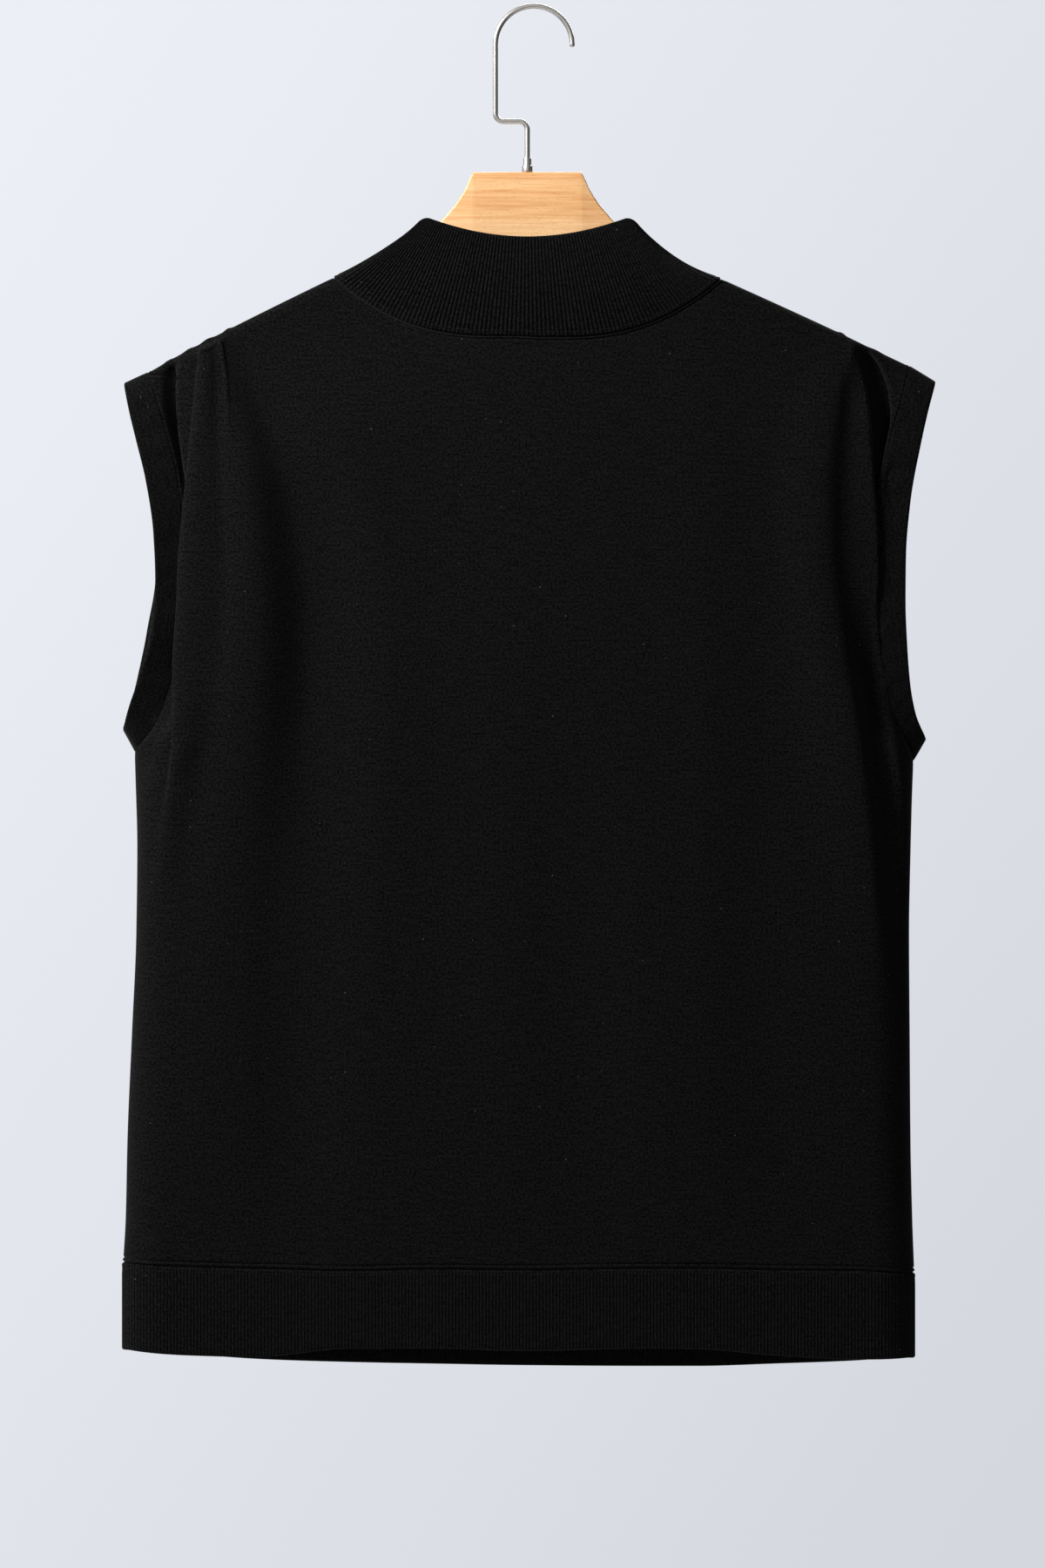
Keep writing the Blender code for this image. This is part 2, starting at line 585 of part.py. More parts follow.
def ring_object(name, finish, rows, frame, wall, outwards):
    """A band of cloth round an opening. Its first row lies on the seam."""
    away, out = frame
    normals = grid_normals(rows, wrap=True)
    flip = np.where(np.sum(normals * outwards, axis=2).mean() < 0, -1.0, 1.0)
    normals = normals * flip
    normals[0] = out
    rows = rows.copy()
    rows[0] += 0.5 * SEAM_GAP * away
    shift = 0.5 * wall * normals
    return wall_object(name, finish, rows + shift, rows - shift, wrap=True)


def collar_rows(seam, faces):
    """Rows of the collar from its seam up to its top edge, fanned so that its ribs spread."""
    across = seam[:, 0] - CENTRE_X
    share = across / NECK_REACH
    fan = 1 - COLLAR_TOP_REACH / (COLLAR_FAN * NECK_REACH)
    top_across = COLLAR_FAN * across * (1 - fan * share**2)
    oval = 1 - np.abs(top_across / COLLAR_TOP_REACH) ** COLLAR_OVAL_POWER
    oval = np.clip(oval, 0.0, 1.0) ** COLLAR_OVAL_ROOT
    depth = np.where(faces == BACK, COLLAR_TOP_DEPTH[BACK], COLLAR_TOP_DEPTH[FRONT])
    dip = np.where(faces == BACK, COLLAR_TOP_DIP[BACK], COLLAR_TOP_DIP[FRONT])
    height = COLLAR_PEAK_HEIGHT - dip * (1 - (top_across / COLLAR_TOP_REACH) ** 2)
    top = np.stack([CENTRE_X + top_across, faces * depth * oval, height], axis=1)
    off_shoulder = ease(np.abs(seam[:, 1]) / COLLAR_BOW_BLEND)
    rows = []
    for part in np.linspace(0.0, 1.0, COLLAR_PARTS + 1):
        row = seam + (top - seam) * part
        swell = math.sin(math.pi * part)
        row[:, 2] -= COLLAR_SAG * swell * share**2
        row[:, 1] += faces * COLLAR_BOW * swell * off_shoulder
        rows.append(row)
    return np.stack(rows)


def band_rows(side, seam, parts, faces):
    """Rows of a sleeve band from the armhole seam out to its edge."""
    _, _, edge_reach, edge_height = armhole_at(side, parts)
    bulge = FRONT_ARMHOLE_BULGE * np.sin(math.pi * parts) ** 2
    edge_reach = edge_reach + np.where(faces == FRONT, bulge, 0.0)
    edge_across = CENTRE_X + side * edge_reach
    edge = np.stack([edge_across, BAND_DRAW_IN * seam[:, 1], edge_height], axis=1)
    return np.stack([seam + (edge - seam) * k / BAND_PARTS for k in range(BAND_PARTS + 1)])


def hem_rows(seam, faces):
    """Rows of the hem band from its seam down to its edge."""
    across = seam[:, 0] - CENTRE_X
    back, front = hem_height(across, "back_edge"), hem_height(across, "front_edge")
    middle = 0.5 * (back + front)
    blend = ease(np.abs(seam[:, 1]) / HEM_SIDE_BLEND)
    low = middle + blend * (np.where(faces == BACK, back, front) - middle)
    reach = np.where(across < 0, -across / HEM[0].across, across / HEM[-1].across)
    draw_in = 1 - HEM_DRAW_IN * (1 - np.abs(reach) ** HEM_SIDE_SHARPNESS)
    edge = np.stack([seam[:, 0], seam[:, 1] * draw_in, low], axis=1)
    return np.stack([seam + (edge - seam) * k / HEM_PARTS for k in range(HEM_PARTS + 1)])


def around(back, front):
    """A closed seam from the back panel's points and the front's, which share both end points."""
    seam = np.concatenate([back, front[-2:0:-1]])
    faces = np.concatenate([np.full(len(back), BACK), np.full(len(front) - 2, FRONT)])
    return seam, faces


def panel_object(name, face, points, seams):
    """A body panel: its edges take the way off and the way out from the seams that they share."""
    normals = grid_normals(points, wrap=False)
    normals *= np.where(np.sum(normals[:, :, 1]) * face < 0, -1.0, 1.0)
    shift = np.zeros_like(points)
    to_middle = np.array([0.0, -face, 0.0])
    last_row, last_column = points.shape[0] - 1, points.shape[1] - 1
    neck_first, neck_last = seams["neck_span"]

    # The shoulder and side seams, where front and back meet at the middle plane.
    for first, last in ((0, neck_first), (neck_last, last_column)):
        along = unit(points[0, first + 1] - points[0, last])
        outwards = -1 if first == 0 else 1
        for k in range(first, last + 1):
            normals[0, k] = (outwards * abs(along[2]), 0.0, abs(along[0]))
            shift[0, k] -= to_middle
    for k, side in ((0, LEFT), (last_column, RIGHT)):
        for i in range(ARMHOLE_PARTS, last_row + 1):
            normals[i, k] = (side, 0.0, 0.0)
            shift[i, k] -= to_middle

    # The neck, armhole and hem seams, whose frames the collar and bands share.
    for places, (away, out) in seams["frames"]:
        for (i, k), off, outwards in zip(places, away, out):
            normals[i, k] = outwards
            shift[i, k] -= off
    mid = points + 0.5 * SEAM_GAP * shift
    wall = 0.5 * BODY_WALL * normals
    return wall_object(name, "black_jersey", mid + wall, mid - wall, wrap=False)


def seam_places(points, kind, neck):
    """Grid places (row, column) of a panel along one of its seams."""
    last_row, last_column = points.shape[0] - 1, points.shape[1] - 1
    if kind == "neck":
        return [(0, k) for k in range(neck[0], neck[1] + 1)]
    if kind == "hem":
        return [(last_row, k) for k in range(last_column + 1)]
    return [(i, 0 if kind == LEFT else last_column) for i in range(ARMHOLE_PARTS + 1)]


def make_cloth():
    """The two body panels, the collar, the sleeve bands and the hem band."""
    grids = {face: panel_points(face) for face in (BACK, FRONT)}
    half = grids[BACK].shape[1] // 2
    neck = (half - NECK_PARTS, half + NECK_PARTS)
    frames = {BACK: [], FRONT: []}
    for kind in ("neck", "hem", LEFT, RIGHT):
        places = seam_places(grids[BACK], kind, neck)
        back = np.array([grids[BACK][place] for place in places])
        front = np.array([grids[FRONT][place] for place in places])
        seam, faces = around(back, front)
        if kind == "neck":
            name, finish, wall = "collar", "black_rib_knit", COLLAR_WALL
            rows = collar_rows(seam, faces)
            outwards = seam - (CENTRE_X, 0.0, seam[0, 2])
        elif kind == "hem":
            name, finish, wall = "hem_band", "black_rib_knit", HEM_WALL
            rows = hem_rows(seam, faces)
            outwards = seam * (1.0, 1.0, 0.0) - (CENTRE_X, 0.0, 0.0)
        else:
            name, finish, wall = f"sleeve_band_{side_name(kind)}", "black_jersey", BAND_WALL
            turns = armhole_turns()
            parts = np.concatenate([turns, turns[-2:0:-1]])
            rows = band_rows(kind, seam, parts, faces)
            middle = 0.5 * (seam[0] + seam[ARMHOLE_PARTS])
            # Mostly towards the front or the back, because the armhole is so much longer than deep.
            outwards = (seam - middle) * (0.0, 8.0, 1.0)
        frame = ring_frame(seam, rows[1], outwards)
        ring_object(name, finish, rows, frame, wall, outwards)
        away, out = frame
        count = len(places)
        frames[BACK].append((places, (away[:count], out[:count])))
        front_order = [0] + list(range(len(seam) - 1, count - 1, -1)) + [count - 1]
        frames[FRONT].append((places, (away[front_order], out[front_order])))
    for name, face in (("back_panel", BACK), ("front_panel", FRONT)):
        panel_object(name, face, grids[face], {"neck_span": neck, "frames": frames[face]})


def wood_outline():
    """The hanger's right half from the top centre round its tip to the bottom centre."""
    corner = (WOOD_TOP_REACH - WOOD_TOP_CORNER, WOOD_TOP_HEIGHT - WOOD_TOP_CORNER)
    corner_end = 90.0 - WOOD_TOP_CORNER_TURN
    points = [(0.0, WOOD_TOP_HEIGHT)]
    points += arc(corner, WOOD_TOP_CORNER, 90.0, corner_end, WOOD_CORNER_STEPS)
    points += [(row.reach, row.height) for row in WOOD_NECK]
    radius = 0.5 * WOOD_TIP_WIDTH
    drop = crest_height(LEFT, NECK_REACH) - crest_height(LEFT, WOOD_SLOPE_REACH)
    slope = math.atan2(drop, WOOD_SLOPE_REACH - NECK_REACH)
    tip_start = WOOD_TIP_REACH - radius
    for reach in np.linspace(NECK_REACH, tip_start, WOOD_ARM_STEPS):
        crest = min(float(crest_height(LEFT, reach)), float(crest_height(RIGHT, reach)))
        points.append((float(reach), crest - WOOD_UNDER_CREST))
    centre = (points[-1][0] - radius * math.sin(slope), points[-1][1] - radius * math.cos(slope))
    for turn in np.linspace(0.0, 1.0, WOOD_TIP_STEPS + 1)[1:]:
        angle = 0.5 * math.pi - slope - math.pi * turn
        points.append((centre[0] + radius * math.cos(angle), centre[1] + radius * math.sin(angle)))
    return points + [(row.reach, row.height) for row in WOOD_UNDERSIDE]


def make_wood():
    """The flat wooden hanger with rounded edges and a bore for the wire."""
    half = wood_outline()
    outline = [(CENTRE_X + reach, height) for reach, height in half]
    outline += [(CENTRE_X - reach, height) for reach, height in half[-2:0:-1]]
    shape = bmesh.new()
    ring = [shape.verts.new((x * MM, 0.5 * WOOD_THICKNESS * MM, z * MM)) for x, z in outline]
    front = shape.faces.new(ring)
    pushed = bmesh.ops.extrude_face_region(shape, geom=[front])
    moved = [item for item in pushed["geom"] if isinstance(item, bmesh.types.BMVert)]
    bmesh.ops.translate(shape, verts=moved, vec=(0.0, -WOOD_THICKNESS * MM, 0.0))
    bmesh.ops.recalc_face_normals(shape, faces=shape.faces)
    mesh = bpy.data.meshes.new("hanger_wood")
    shape.to_mesh(mesh)
    shape.free()
    wood = new_object("hanger_wood", mesh, "varnished_beech")
    bevel = wood.modifiers.new("rounded_edges", "BEVEL")
    bevel.width = WOOD_EDGE_RADIUS * MM
    bevel.segments = WOOD_EDGE_SEGMENTS
    bevel.limit_method = "ANGLE"
    bevel.angle_limit = WOOD_EDGE_ANGLE
    bore = make_rod("wire_bore_cutter", WOOD_BORE, WOOD_BORE_CLEAR, WOOD_BORE_DEPTH)
    bore.location = (CENTRE_X * MM, 0.0, WOOD_TOP_HEIGHT * MM)
    bore.hide_render = True
    bore.display_type = "WIRE"
    cut = wood.modifiers.new("wire_bore", "BOOLEAN")
    cut.operation = "DIFFERENCE"
    cut.solver = "EXACT"
    cut.object = bore
    mesh.shade_smooth()
    mesh.set_sharp_from_angle(angle=SHARP_ANGLE)
    return wood


def make_rod(name, diameter, above, below):
    """A plain upright rod from `above` over its origin to `below` under it."""
    radius = 0.5 * diameter * MM
    length = (above + below) * MM
    shape = bmesh.new()
    bmesh.ops.create_cone(
        shape, cap_ends=True, segments=BORE_SIDES, radius1=radius, radius2=radius, depth=length
    )
    bmesh.ops.translate(shape, verts=shape.verts, vec=(0.0, 0.0, 0.5 * (above - below) * MM))
    mesh = bpy.data.meshes.new(name)
    shape.to_mesh(mesh)
    shape.free()
    rod = bpy.data.objects.new(name, mesh)
    bpy.context.scene.collection.objects.link(rod)
    return rod


def arc(centre, radius, start, end, steps):
    """Points (x, z) on an arc between two angles in degrees."""
    angles = np.radians(np.linspace(start, end, steps + 1))
    return [(centre[0] + radius * math.cos(a), centre[1] + radius * math.sin(a)) for a in angles]


def hook_path():
    """The wire's middle line (x, z), from its tip over the crown and down to its end in the wood."""
    crown = 0.5 * WIRE_DIAMETER - HOOK_RADIUS
    bend = HOOK_BEND_RADIUS
    to_stem = (-HOOK_RADIUS + bend, HOOK_LEG_HEIGHT + bend)
    into_stem = (CENTRE_X - bend, HOOK_LEG_HEIGHT - bend)
    path = arc((0.0, crown), HOOK_RADIUS, HOOK_TIP_ANGLE, 180.0, HOOK_CROWN_STEPS)
    path += [(-HOOK_RADIUS, HOOK_LEG_MIDDLE)]
    path += arc(to_stem, bend, 180.0, 270.0, HOOK_BEND_STEPS)
    path += arc(into_stem, bend, 90.0, 0.0, HOOK_BEND_STEPS)
    return path + [(CENTRE_X, HOOK_STEM_MIDDLE), (CENTRE_X, HOOK_STEM_END)]


def make_hook():
    """The bent wire of the hook."""
    curve = bpy.data.curves.new("hook_wire", "CURVE")
    curve.dimensions = "3D"
    curve.bevel_depth = 0.5 * WIRE_DIAMETER * MM
    curve.bevel_resolution = HOOK_BEVEL_RESOLUTION
    curve.use_fill_caps = True
    path = hook_path()
    spline = curve.splines.new("POLY")
    spline.points.add(len(path) - 1)
    for point, (x, z) in zip(spline.points, path):
        point.co = (x * MM, 0.0, z * MM, 1.0)
    return new_object("hook_wire", curve, "nickelled_wire")


def make_nut():
    """The turned nut that holds the wire at the top of the wood: a flange and a narrower neck."""
    inner, outer, neck = 0.5 * WOOD_BORE, 0.5 * NUT_DIAMETER, 0.5 * NUT_NECK_DIAMETER
    profile = (
        (inner, 0.0),
        (outer, 0.0),
        (outer, NUT_COLLAR),
        (neck, NUT_COLLAR + NUT_SHOULDER),
        (neck, NUT_HEIGHT),
        (inner, NUT_HEIGHT),
    )
    shape = bmesh.new()
    points = [shape.verts.new((radius * MM, 0.0, height * MM)) for radius, height in profile]
    edges = [shape.edges.new(pair) for pair in zip(points, points[1:] + points[:1])]
    bmesh.ops.spin(
        shape,
        geom=points + edges,
        cent=(0.0, 0.0, 0.0),
        axis=(0.0, 0.0, 1.0),
        angle=2 * math.pi,
        steps=NUT_SIDES,
        use_merge=True,
    )
    bmesh.ops.remove_doubles(shape, verts=shape.verts, dist=TINY)
    bmesh.ops.recalc_face_normals(shape, faces=shape.faces)
    mesh = bpy.data.meshes.new("hook_nut")
    shape.to_mesh(mesh)
    shape.free()
    mesh.shade_smooth()
    mesh.set_sharp_from_angle(angle=SHARP_ANGLE)
    nut = new_object("hook_nut", mesh, "nickelled_wire")
    nut.location = (CENTRE_X * MM, 0.0, (WOOD_TOP_HEIGHT + SEAM_GAP) * MM)
    return nut


def main():
    for old in list(bpy.data.objects):
        bpy.data.objects.remove(old, do_unlink=True)
    make_cloth()
    make_wood()
    make_hook()
    make_nut()


if __name__ == "__main__":
    main()
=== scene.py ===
"""A cap-shoulder top of black sweatshirt knit on a flat beech hanger, finished for the camera.

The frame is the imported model. Its origin is the inner crown of the hook, where a rail holds the
hanger. +Z is up, +X is to the right for someone who looks at the garment's back, and the back faces
-Y. The tables and sizes are in millimetres, as in the part's source, and the meshes are in metres.
Reach is the distance from the garment's centre line towards one side, height is Z, and depth is the
distance of the cloth from the plane between front and back.
"""

from __future__ import annotations

import logging
import math
from dataclasses import dataclass, field
from enum import Enum, IntEnum
from functools import partial
from typing import Callable, NamedTuple, Sequence

import bmesh
import bpy
import numpy as np
from bpy.types import ID, Material, Node, NodeSocket, NodeTree, Object
from mathutils import Matrix, Vector


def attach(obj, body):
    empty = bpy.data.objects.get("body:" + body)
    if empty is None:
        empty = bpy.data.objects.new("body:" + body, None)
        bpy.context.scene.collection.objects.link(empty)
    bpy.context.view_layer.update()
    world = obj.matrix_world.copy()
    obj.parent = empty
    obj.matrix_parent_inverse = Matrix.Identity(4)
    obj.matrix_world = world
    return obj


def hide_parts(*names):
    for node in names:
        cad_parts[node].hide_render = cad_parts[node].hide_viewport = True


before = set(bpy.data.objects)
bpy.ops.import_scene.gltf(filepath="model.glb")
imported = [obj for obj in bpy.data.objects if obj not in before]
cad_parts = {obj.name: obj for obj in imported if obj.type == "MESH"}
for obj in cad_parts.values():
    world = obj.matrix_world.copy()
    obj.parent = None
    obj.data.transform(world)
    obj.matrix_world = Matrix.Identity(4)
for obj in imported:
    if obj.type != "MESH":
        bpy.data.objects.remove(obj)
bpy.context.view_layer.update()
LOG = logging.getLogger("cap_sleeve_top")

Array = np.ndarray
Triple = tuple[float, float, float]
Adder = Callable[..., Node]

MM = 0.001
BODY = "root"
UV_NAME = "cloth"
TINY = 1e-6

# A face counts as facing along an axis if its normal has more than this of it.
FACING = 0.9


class Side(IntEnum):
    """The garment's sides as seen from behind, each with the sign of its X."""

    LEFT = -1
    RIGHT = 1


class Face(IntEnum):
    """The garment's back and front, each with the sign of its Y."""

    BACK = -1
    FRONT = 1


class Opening(Enum):
    """The openings that a band, collar or hem closes off."""

    NECK = "neck"
    HEM = "hem"
    ARMHOLE_LEFT = "armhole_left"
    ARMHOLE_RIGHT = "armhole_right"

    @property
    def side(self) -> Side | None:
        """The side that an armhole is on."""
        return {Opening.ARMHOLE_LEFT: Side.LEFT, Opening.ARMHOLE_RIGHT: Side.RIGHT}.get(self)


class Slot(Enum):
    """Names for the material slots."""

    JERSEY = "jersey"
    RIB = "rib_knit"
    BEECH = "beech"
    NICKEL = "nickelled_steel"


def pair(first: float, second: float) -> dict[int, float]:
    """Values for left and right, or for back and front."""
    return field(default_factory=lambda: {-1: first, 1: second})


# ---- the garment's tables


class Outline(NamedTuple):
    """An outline's place, and its value there on each side."""

    place: float
    left: float
    right: float


class Bump(NamedTuple):
    """A small bump of the shoulder line: its place, height and half width."""

    reach: float
    rise: float
    width: float


class Armhole(NamedTuple):
    """The armhole seam and the outer edge of its band, from the shoulder down to the underarm."""

    seam_reach: float
    seam_height: float
    edge_reach: float
    edge_height: float


class Depth(NamedTuple):
    """How far the cloth stands from the middle plane, away from its edges."""

    height: float
    back: float
    front: float


class Hem(NamedTuple):
    """The hem seam and the lower edges of the hem band, from left to right."""

    across: float
    seam: float
    back_edge: float
    front_edge: float


class KeyLine(NamedTuple):
    """Lines down the panel that the columns follow: shallow trough, pleat and deep fold."""

    height: float
    trough: float
    pleat: float
    fold: float


class Fold(NamedTuple):
    """A ridge or trough: its lift off the panel, its slopes' widths and how far it leans over."""

    height: float
    reach: float
    rise: float
    inner: float
    outer: float
    lean: float = 0.0


class Crease(NamedTuple):
    """A soft crease between two points of a panel: its lift and its half width."""

    across: float
    top: float
    across_low: float
    low: float
    rise: float
    width: float


class BandCrease(NamedTuple):
    """A crease across an armhole band: how far down, its lift, half width and slant."""

    part: float
    rise: float
    width: float
    skew: float


def table(kind: type, *rows: Sequence[float]) -> tuple:
    """Rows of numbers as rows of the given kind."""
    return tuple(kind(*map(float, row)) for row in rows)


# The shoulders' heights by reach, and the side seams' reach by height.
SHOULDER = table(
    Outline,
    (0, -110.5, -111.5), (60, -139, -139.6), (120, -167.6, -168.3), (152, -183.2, -182.8),
    (188, -201.2, -199.4), (212, -213.6, -210.9), (237.5, -228, -223),
)

# Small bumps of the pleated cloth along the shoulder line.
CREST_BUMPS = {
    Side.LEFT: table(
        Bump,
        (185.5, 0.9, 3.5), (198, 0.9, 5.5), (210, 0.8, 5), (222.5, 0.7, 4.5),
    ),
    Side.RIGHT: table(
        Bump,
        (194.5, 0.9, 3.5), (216, 0.5, 6),
    ),
}

ARMHOLES = {
    Side.LEFT: table(
        Armhole,
        (235, -226.6, 250, -233.4), (229.5, -244, 246.3, -251), (223.7, -264, 241.8, -269),
        (217, -290, 235.7, -294), (212.5, -325, 230.9, -326.5), (211.5, -355, 229.7, -355),
        (214, -390, 233, -387), (221, -420, 239.7, -414), (230, -445, 246.7, -434),
        (243, -461, 250.3, -447),
    ),
    Side.RIGHT: table(
        Armhole,
        (236.7, -222.6, 253.2, -232.6), (231.5, -244, 248.3, -250), (225.3, -265, 244, -269),
        (218, -305, 237, -307), (216, -340, 234.2, -340), (216.5, -370, 233.9, -368),
        (219, -400, 235, -397), (224, -430, 237, -420), (231, -450, 240.5, -438),
        (238.8, -466, 246.8, -452.5),
    ),
}

SIDES = table(
    Outline,
    (-480, 242.4, 238.3), (-520, 241.4, 237.2), (-573, 242, 236.2), (-638, 244.8, 236.6),
    (-702, 247.5, 237.1), (-751, 248.6, 238.2), (-781, 250.4, 239.3),
)

DEPTHS = table(
    Depth,
    (-170, 11, 12), (-215, 14.5, 16), (-300, 18, 21), (-430, 20, 24), (-600, 18.5, 22),
    (-781, 16.5, 18), (-850, 14, 17),
)

HEM = table(
    Hem,
    (-250.4, -777.5, -831, -833), (-209, -779, -834, -837), (-168, -780, -835, -840),
    (-109, -781.5, -829.5, -842), (-60, -780.5, -829.5, -843), (0, -781, -831, -844),
    (73, -780, -829.5, -844.5), (107, -780, -830, -844.5), (154, -781, -834, -843),
    (205, -781.5, -836.5, -841), (239.3, -784, -836, -838),
)

KEY_LINES = {
    Side.LEFT: table(
        KeyLine,
        (-200, 170, 190.2, 201), (-216, 168, 188, 200), (-233, 165, 185.4, 199.6),
        (-264, 158, 183.4, 200), (-312, 148, 177, 199.5), (-355, 142, 174, 199.5),
        (-394, 140, 174, 202), (-460, 144, 180, 211), (-521, 150, 188, 221), (-600, 157, 195, 229),
        (-781, 166, 203, 236),
    ),
    Side.RIGHT: table(
        KeyLine,
        (-198, 176, 196, 203.5), (-214, 178, 199, 205.5), (-225, 178, 199, 207.5),
        (-240, 177, 197.5, 208.6), (-267, 176, 194.5, 209.5), (-308, 175, 192.5, 208.2),
        (-350, 179, 195.5, 207.5), (-382, 185, 199.5, 209.5), (-421, 192, 205.5, 215.5),
        (-466, 199, 213, 224), (-521, 206, 220, 229.5), (-600, 213, 225, 231.5),
        (-781, 212, 224, 232.5),
    ),
}

FOLD_ROWS = {
    Side.LEFT: (
        # The trough beside the shoulder, which runs on down the body.
        (
            (-214, 176, -0.3, 16, 9), (-226, 170, -0.9, 24, 14), (-240, 164, -1.8, 30, 18),
            (-264, 154, -3, 40, 24), (-312, 139, -4.2, 46, 31), (-382, 130, -5, 50, 34),
            (-467, 131.5, -3.8, 48, 36), (-560, 138, -2.4, 46, 36), (-680, 147, -1.8, 44, 34),
            (-770, 152, -0.5, 40, 32),
        ),
        # The pleat, sewn in at the shoulder: a low step that faces the neck.
        (
            (-202, 190, 0.5, 3, 12), (-216, 188, 0.7, 4.5, 14), (-233, 185.4, 0.7, 7, 14),
            (-254, 184, 0.4, 9, 14), (-276, 182, 0, 10, 14),
        ),
        # The sewn edge of that pleat, a thin ridge that catches the light.
        (
            (-200, 190.6, 0.3, 1.4, 2.1), (-208, 189.6, 1.1, 1.4, 2.1),
            (-233, 185.9, 0.9, 1.6, 2.3), (-254, 184.4, 0.5, 2.4, 3), (-276, 182.4, 0, 3, 4),
        ),
        # The roll between the trough and the deep fold.
        (
            (-210, 194, 0.3, 10, 10), (-226, 190, 2.2, 16, 16), (-264, 181, 4.8, 24, 28),
            (-314, 173, 6.5, 30, 40), (-355, 170.5, 7, 34, 44), (-394, 170.5, 6.8, 36, 46),
            (-460, 176.5, 5, 38, 44), (-521, 184, 3.2, 38, 40), (-600, 192, 1.8, 38, 36),
            (-700, 200, 0.9, 38, 32), (-770, 205, 0, 38, 30),
        ),
        # The edge of the deep fold, which hangs over the armhole seam: its height.
        (
            (-207, 199, 1.2, 4, 5), (-216, 198.2, 2.6, 5, 5.4), (-226, 197.6, 3.5, 5.5, 5.8),
            (-264, 197.4, 4.2, 7, 7), (-314, 196.3, 4.4, 9, 8), (-355, 196, 4.4, 10, 8.2),
            (-394, 198.6, 4, 11, 8.4), (-430, 203.4, 3.4, 11, 9), (-460, 208.4, 2.7, 11, 9.6),
            (-490, 214, 1.9, 11, 10.5), (-521, 220, 1, 12, 12), (-560, 226, 0, 12, 12),
        ),
        # And how far it leans over.
        (
            (-207, 200.6, 0, 4, 4, 1), (-216, 200, 0, 4.5, 4.2, 2.6), (-226, 199.6, 0, 5, 4.4, 3.8),
            (-264, 200, 0, 8, 5.6, 7), (-314, 199.5, 0, 10, 6.6, 12.4),
            (-355, 199.5, 0, 11, 6.8, 15.6), (-394, 202, 0, 12, 6.8, 15.4),
            (-430, 206.5, 0, 12, 7.5, 11.2), (-460, 211, 0, 12, 8.5, 6.8),
            (-490, 216, 0, 12, 10, 3.8), (-521, 221, 0, 12, 12, 1.4), (-560, 226, 0, 12, 12),
        ),
        # The deep slot between that fold and the armhole seam, tucked in under the fold.
        (
            (-213, 218.5, -1.5, 3, 3.5, -0.5), (-222, 219.6, -6.5, 3.5, 5.5, -2),
            (-236, 220.6, -9, 4, 7, -3.4), (-252, 220, -9, 4, 6.5, -3.6),
            (-272, 217.6, -6.5, 4, 5, -2.6), (-296, 213, -3.5, 4, 4.5, -1.2), (-316, 209, 0, 4, 4),
        ),
    ),
    Side.RIGHT: (
        # The ridge beside the pleat, lit lower down.
        (
            (-206, 198.5, 0.4, 20, 5), (-222, 195, 1.6, 28, 8), (-240, 190, 2.6, 32, 12),
            (-267, 185.5, 3.2, 34, 15), (-300, 182.5, 3.3, 34, 17), (-346, 184, 3.4, 34, 17, 0.2),
            (-376, 187.5, 3.4, 34, 16, 0.8), (-404, 191.5, 3.8, 34, 15, 1.4),
            (-431, 195.8, 4.4, 34, 14, 2), (-469, 201.5, 4.2, 34, 14, 1.8),
            (-521, 208.5, 3, 34, 13, 0.8), (-612, 219, 0, 28, 12),
        ),
        # The trough beside the pleat.
        (
            (-206, 203, -0.4, 4, 4), (-214, 204, -1.2, 5, 4.6), (-222, 204.5, -1.4, 7, 6),
            (-240, 203, -1.3, 11, 8), (-267, 200.5, -1.2, 14, 9), (-300, 199, -1.2, 15, 10),
            (-346, 201, -1.8, 15, 11), (-371, 205, -2.6, 15, 11), (-400, 209.5, -4, 15, 9.5),
            (-454, 218.8, -4.8, 15, 9.5), (-521, 227.5, -3.2, 17, 9), (-600, 229, -1, 16, 8),
            (-740, 229, 0, 16, 8),
        ),
        # The deep fold beside the armhole.
        (
            (-206, 200.4, 0.8, 6, 3.4, 0.4), (-214, 201.4, 1.8, 7, 3.8, 0.8),
            (-225, 203.2, 1.9, 9, 4.4, 1.6), (-240, 205.6, 1.6, 11, 4.8, 2.6),
            (-267, 206.8, 1.5, 13, 5.6, 4.2), (-308, 206.4, 1.6, 14, 6, 7.8),
            (-329, 206.2, 1.6, 14, 6.4, 9.4), (-350, 207, 1.5, 14, 7.4, 8.6),
            (-378, 209.5, 1.4, 14, 9, 4), (-415, 214, 0, 14, 10),
        ),
        # The deep slot between that fold and the armhole seam, which it runs under.
        (
            (-205, 205.5, -3, 3.5, 4, 0.5), (-213, 210, -7, 7, 5, 2),
            (-225, 215.5, -9.5, 10, 5.5, 4), (-240, 219.5, -10, 13, 5.5, 5),
            (-256, 220.8, -10, 13.5, 5.5, 5), (-276, 218.6, -9, 12, 5, 4.6),
            (-296, 215.6, -7, 9.5, 4.5, 3.6), (-322, 213.5, -4.5, 8, 4, 2.5), (-350, 213, 0, 8, 4),
        ),
    ),
}
FOLDS = {side: [table(Fold, *rows) for rows in folds] for side, folds in FOLD_ROWS.items()}

# Creases across the armhole bands, most of them near the underarm.
BAND_CREASES = {
    Side.LEFT: table(
        BandCrease,
        (0.905, -0.85, 7, -6), (0.66, 1.7, 34, 3), (0.42, -0.35, 10, 4), (0.20, 0.35, 8, -3),
    ),
    Side.RIGHT: table(
        BandCrease,
        (0.29, -1.6, 24, 0), (0.93, -0.35, 3.5, -3), (0.88, -0.25, 3, -3), (0.66, 0.35, 8, 4),
        (0.50, -0.50, 5, 8), (0.22, 0.30, 9, 2),
    ),
}

# How far from the seam the coverstitch runs on the body.
STITCH_AT = {Opening.NECK: 2.1, Opening.HEM: 2.9}
